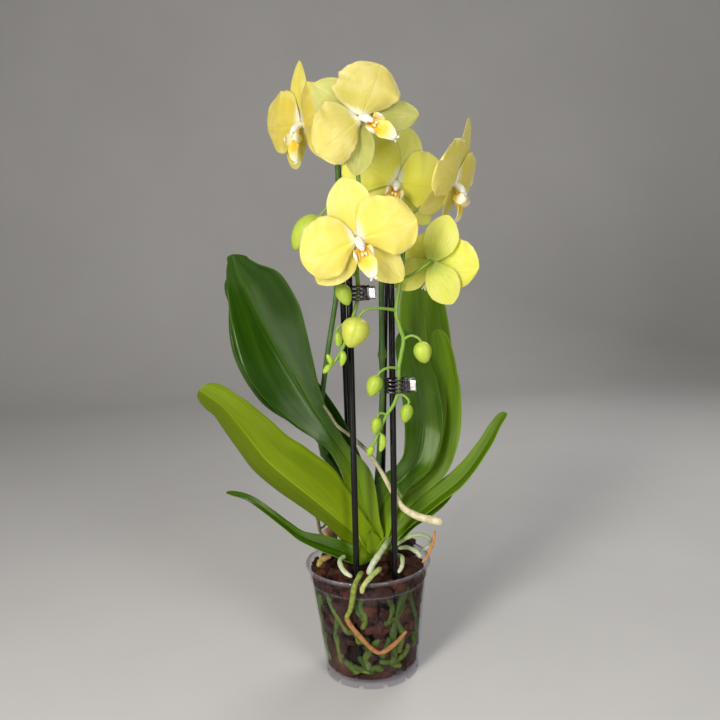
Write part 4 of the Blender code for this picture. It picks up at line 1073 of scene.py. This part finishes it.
def build_pot(material):
    top = POT_HEIGHT
    profile = [
        (RIM - 0.9, top), (RIM, top - 0.9), (RIM, top - 3.2), (RIM - 0.8, top - 4.0), (RIM - 2.6, top - 4.3),
        (56.6, SHOULDER + 2), (WALL_TOP, SHOULDER - 0.5), (WALL_FOOT, FLOOR), (FOOT, 0), (FOOT - 2, 0),
        (FOOT - 2, FLOOR - WALL), (6.5, FLOOR - WALL), (6.5, FLOOR), (WALL_FOOT - WALL - 1.2, FLOOR),
        (WALL_FOOT - WALL, FLOOR + 1.2), (WALL_TOP - WALL, SHOULDER - 0.3), (56.6 - WALL, SHOULDER + 2.2),
        (RIM - 3.6, top - 3.4), (RIM - 2.4, top - 0.6), (RIM - 1.6, top),
    ]
    pot = assemble("pot_clear", [turned(rounded(profile), 160)], [material], node="pot")
    gaps = []
    for i in range(DRAINS):
        angle = 2 * math.pi * (i + 0.5) / DRAINS
        x, y = DRAIN_RING * math.cos(angle), DRAIN_RING * math.sin(angle)
        gaps.append(tube([(x, y, 4, DRAIN_RADIUS), (x, y, 12, DRAIN_RADIUS)], 24))
    corners = np.array([(x, y, z) for x in (-0.5, 0.5) for y in (-0.5, 0.5) for z in (-0.5, 0.5)]) * NOTCH_SIZE
    block = [[0, 1, 3, 2], [4, 6, 7, 5], [0, 4, 5, 1], [2, 3, 7, 6], [0, 2, 6, 4], [1, 5, 7, 3]]
    for i in range(NOTCHES):
        angle = 2 * math.pi * (i + 0.5) / NOTCHES
        turn = np.array(Matrix.Rotation(angle, 3, "Z"))
        middle = np.array([math.cos(angle), math.sin(angle), 0]) * (FOOT - 1)
        gaps.append(Lump(corners @ turn.T + middle, block, {}))
    cut_away(pot, gaps)


def chip_lump(rng, centre, half, turn, keep=None):
    """A worn block of bark: a rounded, dented cube, held at least keep inside the pot's wall."""
    n = 7
    grid = np.linspace(-1, 1, n)
    a, b = np.meshgrid(grid, grid, indexing="ij")
    one = np.ones_like(a)
    sides = [(a, b, one), (b, a, -one), (one, a, b), (-one, b, a), (b, one, a), (a, -one, b)]
    verts = np.vstack([np.stack(side, -1).reshape(-1, 3) for side in sides])
    faces = np.vstack([quads(n, n, k * n * n) for k in range(6)])
    _, first, index = np.unique(np.round(verts, 5), axis=0, return_index=True, return_inverse=True)
    verts, faces = verts[first], index.reshape(-1)[faces]
    soft = verts / np.maximum(np.linalg.norm(verts, axis=1, keepdims=True), 1) * 1.25
    p = 0.72 * verts + 0.28 * soft
    waves = rng.normal(0, 1, (5, 3)) * 2.4
    shift = rng.uniform(0, 6.28, 5)
    dent = sum(np.sin(verts @ w + f) for w, f in zip(waves, shift)) * 0.055
    p = p * (1 + dent[:, None]) + rng.normal(0, 0.018, verts.shape)
    p = p * (1 - 0.25 * rng.uniform() * (verts[:, :1] * rng.choice([-1, 1]) + 1) / 2)
    about_x, about_y, about_z = (Matrix.Rotation(angle, 3, axis) for angle, axis in zip(turn, "XYZ"))
    rotation = np.array(about_z @ about_y @ about_x)
    p = (p * np.array(half)) @ rotation.T + np.array(centre)
    if keep is not None:
        reach = np.hypot(p[:, 0], p[:, 1])
        limit = inner_radius(p[:, 2]) - keep
        scale = np.minimum(1, limit / np.maximum(reach, 1e-6))
        p[:, :2] *= scale[:, None]
        p[:, 2] = np.maximum(p[:, 2], FLOOR + 0.3)
    return Lump(p, faces, {"tint": np.full(len(p), rng.uniform() ** 1.5)})


def bed_top(x, y):
    """Height of the bark's surface."""
    reach = np.hypot(x, y)
    return np.interp(reach, [0, 12, 26, 40, 50, 56], [115.5, 115.0, 112.5, 108.5, 103.0, 97.5])


def wall_root(start_angle, sweep, z_start, z_end, radius, rng):
    """A root that has grown against the inside of the wall."""
    count = 9
    t = np.linspace(0, 1, count)
    angle = np.radians(start_angle + sweep * t + 4 * np.sin(t * rng.uniform(3, 7) + rng.uniform(0, 6)))
    z = z_start + (z_end - z_start) * t + rng.normal(0, 1.0, count)
    z = np.clip(z, FLOOR + radius + 0.6, 103)
    radius = 0.86 * radius
    reach = inner_radius(z) - radius - 0.3
    return np.c_[reach * np.cos(angle), reach * np.sin(angle), z, np.full(count, radius)]


WALL_ROOTS = [
    # start angle, sweep, top, bottom, radius; -90 faces the camera
    (-52, -14, 100, 22, 4.2), (-60, 10, 70, 30, 3.4), (-103, 16, 52, 34, 3.2), (-86, -12, 50, 20, 3.6),
    (-74, 8, 98, 66, 3.0), (-95, -6, 96, 62, 2.8), (-112, 34, 30, 16, 3.4), (-128, -8, 72, 20, 3.2),
    (-40, 16, 92, 28, 3.6), (-140, 20, 98, 56, 3.0), (-28, 24, 60, 20, 3.4), (-155, -20, 84, 26, 3.6),
    (-70, -4, 50, 30, 4.6), (-120, 26, 60, 46, 3.0), (-106, 10, 100, 70, 2.6), (-66, 30, 20, 34, 3.2),
    (-84, -34, 16, 20, 3.4), (-132, 40, 24, 15, 2.8), (-48, -26, 80, 64, 2.6), (-80, 30, 26, 18, 3.0),
    (10, 24, 96, 30, 3.6), (40, -20, 70, 16, 3.4), (70, 26, 96, 40, 3.3), (100, -18, 60, 18, 3.6),
    (125, 26, 98, 36, 3.4), (150, -22, 70, 22, 3.5), (178, 26, 92, 30, 3.2), (-170, 12, 50, 16, 3.4),
    (20, 50, 40, 18, 3.0), (85, 30, 30, 16, 3.2), (140, 30, 34, 18, 3.0), (-15, 20, 98, 60, 2.8),
]

WALL_LUMPS, LOW_LUMPS, TOP_LUMPS = 330, 70, 110
WALL_GAP, TOP_GAP = 1.5, 0.6  # least distance of bark from the wall; the roots on it come closer
STAKES_SEEN_AT = (-12.5, 23.0)  # x where the front stakes show through the wall, kept clear of bark


def build_bed(bark, green_root, pale_root):
    rng = np.random.default_rng(21)
    lumps = []
    core = [(0.5, 112), (20, 110), (36, 104), (40, 96), (39, 88), (33, 14), (32, 9.5), (0.5, 9.5)]
    lumps.append(turned(rounded(core, 3), 40))
    for i in range(WALL_LUMPS + LOW_LUMPS):
        z = rng.uniform(11, 99) if i < WALL_LUMPS else rng.uniform(9, 15)
        reach = inner_radius(z) - rng.uniform(2.5, 7.5)
        angle = rng.uniform(0, 2 * np.pi)
        half = rng.uniform((4.2, 3.4, 1.8), (9.5, 6.5, 4.0))
        turn = (rng.normal(np.pi / 2, 0.35), rng.normal(0, 0.6), angle + np.pi / 2 + rng.normal(0, 0.25))
        beside = min(abs(reach * np.cos(angle) - x) for x in STAKES_SEEN_AT)
        if np.sin(angle) < -0.5 and beside < 6.0:
            continue
        lumps.append(chip_lump(rng, (reach * np.cos(angle), reach * np.sin(angle), z), half, turn, WALL_GAP))
    for _ in range(TOP_LUMPS):
        reach = 53 * math.sqrt(rng.uniform())
        angle = rng.uniform(0, 2 * np.pi)
        x, y = reach * np.cos(angle), reach * np.sin(angle)
        half = rng.uniform((4.6, 4.0, 2.2), (10.5, 7.5, 4.8))
        z = bed_top(x, y) - half[2] - rng.uniform(-0.5, 4.0)
        turn = (rng.normal(0, 0.45), rng.normal(0, 0.45), rng.uniform(0, 6.28))
        lumps.append(chip_lump(rng, (x, y, z), half, turn, TOP_GAP))
    # a block of bark under each chip that lies on top
    for i, (place, half, _) in enumerate(CHIPS[1:]):
        own = np.random.default_rng(80 + i)
        middle = (place[0], place[1], place[2] - half[2] - 4.6)
        lumps.append(chip_lump(own, middle, (8.5, 6.5, 5.4), (0.15, -0.2, 0.9 * i), TOP_GAP))
    for i, (start, sweep, top, bottom, radius) in enumerate(WALL_ROOTS):
        rows = rounded_ends(through(wall_root(start, sweep, top, bottom, radius, rng), 10))
        lumps.append(tube(rows, 14, 1 + i % 2, swell=gnarl(40 + i, 0.08)))
    assemble("bark_bed_full", lumps, [bark, green_root, pale_root], node="bark_bed")


CHIPS = [
    ((-37.5, 28.5, 119.5), (8.5, 4.5, 11.5), (4, 5, 53)), ((37, 16, 120.5), (9, 7, 3.6), (-12, 14, -20)),
    ((-37, -8, 118.5), (7, 5, 3.0), (6, 10, 70)), ((10, -24, 119.8), (6, 5, 2.6), (-8, 4, 40)),
]

STAKES = [
    ("stake_left_front", (-13.0, -38.3, 12.0), (-5.5, -39.0, 396.0)),
    ("stake_left_back", (-16.5, 33.0, 12.0), (-12.0, 34.0, 486.0)),
    ("stake_right_front", (22.0, -33.0, 12.0), (31.0, -39.0, 390.0)),
    ("stake_right_back", (9.0, 33.0, 12.0), (29.0, 34.0, 388.0)),
]


def build_stake(name, foot, head, material):
    end = np.geomspace(0.0004, 0.006, 6)
    t = np.r_[0, end, np.linspace(0.01, 0.99, 60), 1 - end[::-1], 1]
    foot, head = np.array(foot), np.array(head)
    line = foot + (head - foot) * t[:, None]
    length = np.linalg.norm(head - foot)
    near = np.minimum(t, 1 - t) * length
    radius = 2.8 * np.sqrt(np.clip(1 - (1 - np.clip(near / 2.6, 0, 1)) ** 2, 0.01, 1))
    assemble(
        name + "_rod", [tube(np.c_[line, radius], 36, swell=lambda a, b: 1 + 0.006 * np.cos(9 * b))],
        [material], node=name,
    )


# ---- clips

# the hinge of each clip; then the outline of a jaw, as distance ahead of the hinge and outward
CLIPS = {"clip_upper": (8.5, -39.4, 370.0), "clip_lower": (41.0, -38.2, 286.5)}
JAW_PLAN = [
    (-8.0, 5.8), (-4.0, 4.2), (0.0, 3.4), (3.0, 4.2), (7.0, 5.4), (11.0, 5.8), (15.0, 5.2), (18.0, 3.2),
    (19.6, 0.8),
]


def jaw_strip(side, low, high, start, end, material, thick=0.42, grow=0.0):
    """Part of a jaw: the plan's stretch from start to end, between two heights."""
    plan = through(JAW_PLAN, 8)
    plan = plan[(plan[:, 0] >= start - 1e-6) & (plan[:, 0] <= end + 1e-6)]
    count = len(plan)
    heights = np.linspace(low, high, 7)
    middle, half = (low + high) / 2, (high - low) / 2
    t = np.linspace(0, 1, count)[:, None]
    taper = 1 - grow * t**2
    z = middle + (heights[None, :] - middle) * taper
    crown = 0.18 * (1 - ((heights[None, :] - middle) / half) ** 2)
    points = np.stack(
        [np.repeat(-plan[:, 0:1], 7, 1), -side * (plan[:, 1:2] + crown), z + 0 * plan[:, 0:1]], -1
    )
    if side < 0:
        points = points[:, ::-1]
    return sheet(points, np.full(points.shape[:2], thick), material)


def build_clip(name, hinge, steel, bright):
    place = Matrix.Translation(hinge)
    bands = 7
    edge = np.linspace(-6.3, 6.3, bands + 1)
    for word, side, knuckles, body in (
        ("front", 1, (-3.3, 3.3), PLANT), ("back", -1, (-5.1, 5.1), f"{name}_jaw"),
    ):
        lumps = [jaw_strip(side, -6.3, 6.3, -3.2, 3.4, 0)]
        lumps.append(jaw_strip(side, -5.4, 5.4, -8.0, -2.6, 1, 0.62))
        for k in range(0, bands, 2):
            lumps.append(jaw_strip(side, edge[k] + 0.1, edge[k + 1] - 0.1, 2.6, 19.7, 0, 0.42, 0.25))
        for height in knuckles:
            profile = ((-0.65, 2.2), (-0.5, 2.4), (0.5, 2.4), (0.65, 2.2))
            lumps.append(tube([(0, 0, height + z, radius) for z, radius in profile], 28))
            arm = [(0, -side * 1.3, height, 0.62), (0, -side * 3.3, height, 0.62)]
            lumps.append(tube(through(arm, 4), 10))
        assemble(
            f"{name}_{word}_claw", lumps, [steel, bright], node=f"{name}_{word}_jaw",
            body=body, matrix=place,
        )
    head = [(6.0, 0.7), (6.3, 0.62), (6.4, 0.3)]
    pin = [(0, 0, -z, radius) for z, radius in head[::-1]] + [(0, 0, z, radius) for z, radius in head]
    assemble(f"{name}_rivet", [tube(pin, 24)], [bright], node=f"{name}_pin", matrix=place)
    t = np.linspace(0, 1, 120)
    turn = t * 2 * np.pi * 5
    coil = np.c_[1.35 * np.cos(turn), 1.35 * np.sin(turn), -2.1 + 4.2 * t, np.full(120, 0.24)]
    assemble(f"{name}_coil", [tube(coil, 10)], [bright], node=f"{name}_spring", matrix=place)


# ---- the whole

LEAF_BASE = (0.25, 0.38, 0.015)
# dark, light, foot, seed, reach, gloss, then shine and the painted shade on the half below the midrib
LEAF_TONES = {
    "deep": ((0.010, 0.039, 0.0006), (0.026, 0.076, 0.001), LEAF_BASE, 1.0, 0.36, 0.11),
    "rich": ((0.024, 0.072, 0.001), (0.058, 0.130, 0.002), LEAF_BASE, 4.0, 0.36, 0.13),
    "mid": ((0.062, 0.135, 0.003), (0.13, 0.225, 0.006), LEAF_BASE, 2.0, 0.34, 0.34, 0.2),
    "fresh": ((0.125, 0.190, 0.002), (0.175, 0.25, 0.004), (0.27, 0.39, 0.010), 3.0, 0.5, 0.36, 0.14, 0.62),
}
LEAF_KINDS = {kind: leaf_material("leaf_" + kind, *tones) for kind, tones in LEAF_TONES.items()}
for i, (name, blade) in enumerate(LEAVES.items()):
    build_leaf(name, blade, LEAF_KINDS[blade["kind"]], i + 1)

# first colour, last colour, stain, seed, and where along the root the change is
ROOT_TONES = {
    "cream": ((0.17, 0.16, 0.09), (0.74, 0.66, 0.42), (0.42, 0.38, 0.22), 1.0, (0.2, 0.75)),
    "silver": ((0.36, 0.46, 0.20), (0.66, 0.70, 0.50), (0.42, 0.50, 0.26), 2.0),
    "green": ((0.42, 0.52, 0.14), (0.55, 0.58, 0.22), (0.30, 0.40, 0.08), 3.0),
    "dried": ((0.24, 0.34, 0.05), (0.42, 0.19, 0.06), (0.17, 0.08, 0.02), 4.0, (0.40, 0.43)),
    "brown": ((0.42, 0.24, 0.08), (0.34, 0.32, 0.06), (0.22, 0.12, 0.04), 5.0),
    "orange": ((0.62, 0.27, 0.08), (0.58, 0.30, 0.10), (0.36, 0.13, 0.04), 6.0),
    "olive": ((0.16, 0.18, 0.07), (0.20, 0.17, 0.07), (0.10, 0.08, 0.03), 7.0),
}
ROOT_MATERIALS = {kind: root_material("root_" + kind, *tones) for kind, tones in ROOT_TONES.items()}
for i, (name, points) in enumerate(ROOTS.items()):
    build_root(name, points, ROOT_MATERIALS[ROOT_KINDS[name]], 60 + i)

STEM = stem_material()
for side, path, shoots, yellowing, joints in (
    ("left", SPIKE_LEFT, SHOOTS_LEFT, (0.50, 0.62), (0.13, 0.30)),
    ("right", SPIKE_RIGHT, SHOOTS_RIGHT, (0.42, 0.52), (0.15, 0.27)),
):
    build_spike("flower_spike_" + side, path, shoots, yellowing, STEM, joints)

# body, deep, pale, heart, back, seed, and for one the share of the veins
PETAL_TONES = {
    "cream": (
        (0.90, 0.73, 0.125), (0.84, 0.65, 0.065), (0.92, 0.79, 0.22), (0.95, 0.92, 0.72), (0.82, 0.76, 0.20), 1.0,
    ),
    # the top flower's petals: the front flower's cream made darker, partly as painted shade
    "pale": (
        (0.70, 0.57, 0.13), (0.52, 0.45, 0.06), (0.84, 0.70, 0.25), (0.94, 0.91, 0.74), (0.66, 0.64, 0.16), 3.0,
    ),
    "amber": (
        (0.74, 0.57, 0.09), (0.60, 0.44, 0.04), (0.82, 0.67, 0.18), (0.93, 0.89, 0.68), (0.66, 0.58, 0.08), 5.0,
    ),
    "lime": (
        (0.90, 0.84, 0.09), (0.78, 0.75, 0.05), (0.94, 0.87, 0.20), (0.90, 0.92, 0.70), (0.62, 0.64, 0.07), 9.0,
    ),
}
SEPAL_TONES = {
    "cream": (
        (0.88, 0.73, 0.13), (0.76, 0.63, 0.07), (0.90, 0.78, 0.22), (0.94, 0.93, 0.76), (0.60, 0.60, 0.10), 13.0,
    ),
    # the top flower's sepals: greener in their own colour, and darker partly as painted shade
    "pale": (
        (0.50, 0.50, 0.13), (0.36, 0.40, 0.07), (0.60, 0.58, 0.20), (0.80, 0.84, 0.50), (0.46, 0.52, 0.10), 15.0,
    ),
    "amber": (
        (0.76, 0.62, 0.10), (0.62, 0.50, 0.05), (0.82, 0.71, 0.19), (0.90, 0.88, 0.66), (0.46, 0.46, 0.05), 17.0,
    ),
    "lime": (
        (0.80, 0.78, 0.12), (0.64, 0.66, 0.07), (0.86, 0.82, 0.26), (0.86, 0.89, 0.60), (0.56, 0.58, 0.06), 21.0,
        0.26,
    ),
}
PETALS = {kind: tepal_material("petal_" + kind, *tones) for kind, tones in PETAL_TONES.items()}
SEPALS = {kind: tepal_material("sepal_" + kind, *tones) for kind, tones in SEPAL_TONES.items()}
LIP = [lip_material(), column_material(), lobe_material()]
for i, (name, flower) in enumerate(FLOWERS.items()):
    matrix = flower_matrix(flower)
    rng = np.random.default_rng(100 + i)
    sepal, petal = SEPALS[flower["kind"]], PETALS[flower["kind"]]
    lumps = [build_tepal(t, sepal_width, -1.6, rng, False) for t in flower["sepals"]]
    assemble(f"{name}_sepal_whorl", lumps, [sepal], node=f"{name}_sepals", matrix=matrix)
    frill = 1.7 if flower["kind"] == "pale" else 1.0
    lumps = [build_tepal(t, petal_width, 1.6, rng, True, frill) for t in flower["petals"]]
    assemble(f"{name}_petal_pair", lumps, [petal], node=f"{name}_petals", matrix=matrix)
    build_lip(name, matrix, LIP, flower["lip"], 0.7 if name == "flower_behind" else 1.0)

BARK = bark_material()
build_bed(
    BARK,
    root_material("wall_root_green", (0.045, 0.10, 0.008), (0.10, 0.17, 0.014), (0.03, 0.035, 0.008), 11.0),
    root_material("wall_root_pale", (0.09, 0.17, 0.015), (0.19, 0.27, 0.03), (0.05, 0.07, 0.012), 12.0),
)
PALE_CHIP = light_chip_material()
for i, (place, half, turn) in enumerate(CHIPS, 1):
    rng = np.random.default_rng(300 + i)
    lump = chip_lump(rng, place, half, [math.radians(a) for a in turn])
    assemble(f"bark_chip_{i}_worn", [lump], [PALE_CHIP if i == 1 else BARK], node=f"bark_chip_{i}")
build_pot(clear_material())
STAKE = stake_material()
for name, foot, head in STAKES:
    build_stake(name, foot, head, STAKE)


build_stem_base([STEM, LEAF_KINDS["mid"]])

STEEL = metal_material("clip_gunmetal", (0.05, 0.045, 0.05), (0.13, 0.12, 0.125), 0.16, 0.32)
BRIGHT = metal_material("clip_polished", (0.48, 0.45, 0.45), (0.74, 0.71, 0.71), 0.20, 0.34)
for name, hinge in CLIPS.items():
    build_clip(name, hinge, STEEL, BRIGHT)


# ---- stage, light and camera


def stage_material():
    s = Shader("stage_pale", Specular_IOR_Level=0.2)
    drift = s.noise(s.place(), 3.0, 4, 0.6)
    grain = s.noise(s.place(), 380.0, 2, 0.6)
    colour = s.mix(s.step(drift, 0.3, 0.7), (0.66, 0.645, 0.63), (0.69, 0.675, 0.66))
    return s.finish(colour, s.step(grain, 0.3, 0.7, 0.75, 0.9))


def build_stage():
    bend = [(-2.5, 0.0), (1.3, 0.0)]
    bend += [(1.3 + 0.6 * math.sin(a), 0.6 - 0.6 * math.cos(a)) for a in np.linspace(0.1, math.pi / 2, 14)]
    bend += [(1.9, 2.8)]
    mesh = bpy.data.meshes.new("sweep")
    verts = [(x, y, z - 0.0002) for y, z in bend for x in (-3.0, 3.0)]
    faces = [(2 * i, 2 * i + 1, 2 * i + 3, 2 * i + 2) for i in range(len(bend) - 1)]
    mesh.from_pydata(verts, [], faces)
    mesh.materials.append(stage_material())
    mesh.shade_smooth()
    sweep = bpy.data.objects.new("sweep", mesh)
    bpy.context.scene.collection.objects.link(sweep)


def area_light(name, place, target, size, power, colour=(1, 1, 1)):
    data = bpy.data.lights.new(name, "AREA")
    data.shape = "RECTANGLE"
    data.size, data.size_y = size
    data.energy = power
    data.color = colour
    obj = bpy.data.objects.new(name, data)
    bpy.context.scene.collection.objects.link(obj)
    obj.location = place
    obj.rotation_euler = (Vector(target) - Vector(place)).to_track_quat("-Z", "Y").to_euler()
    obj.visible_camera = False


build_stage()
area_light("key", (-0.62, -1.12, 0.80), (0, 0, 0.36), (0.28, 1.2), 18.0, (1.0, 0.97, 0.92))
area_light("fill", (0.62, -1.25, 1.05), (0, 0, 0.38), (0.5, 0.6), 7.4, (0.97, 0.98, 1.0))
area_light("low_strip", (-0.60, -0.57, 0.10), (-0.07, 0, 0.32), (0.02, 0.5), 0.8)
area_light("low_strip_right", (0.36, -0.78, 0.15), (0.055, 0, 0.27), (0.02, 0.4), 0.6)
area_light("rim", (0.6, 0.9, 1.1), (0, 0, 0.35), (0.7, 0.5), 5.5)
world = bpy.data.worlds.new("studio")
bpy.context.scene.world = world
world.use_nodes = True
world.node_tree.nodes["Background"].inputs[0].default_value = (0.62, 0.61, 0.60, 1)
world.node_tree.nodes["Background"].inputs[1].default_value = 0.15
bpy.context.scene.view_settings.view_transform = "Standard"

camera = bpy.data.objects.new("camera", bpy.data.cameras.new("camera"))
bpy.context.scene.collection.objects.link(camera)
pitch, roll = math.radians(9.18), math.radians(-2.51)
forward = Vector((0, math.cos(pitch), -math.sin(pitch)))
right = Vector((1, 0, 0))
up = right.cross(forward)
across, above = right * math.cos(roll) + up * math.sin(roll), up * math.cos(roll) - right * math.sin(roll)
aim = Matrix((across, above, -forward)).transposed().to_4x4()
camera.matrix_world = Matrix.Translation((0.0007, -0.7796, 0.4305)) @ aim
camera.data.lens = 42.5
camera.data.sensor_width = 36.0
camera.data.clip_start = 0.01
bpy.context.scene.camera = camera
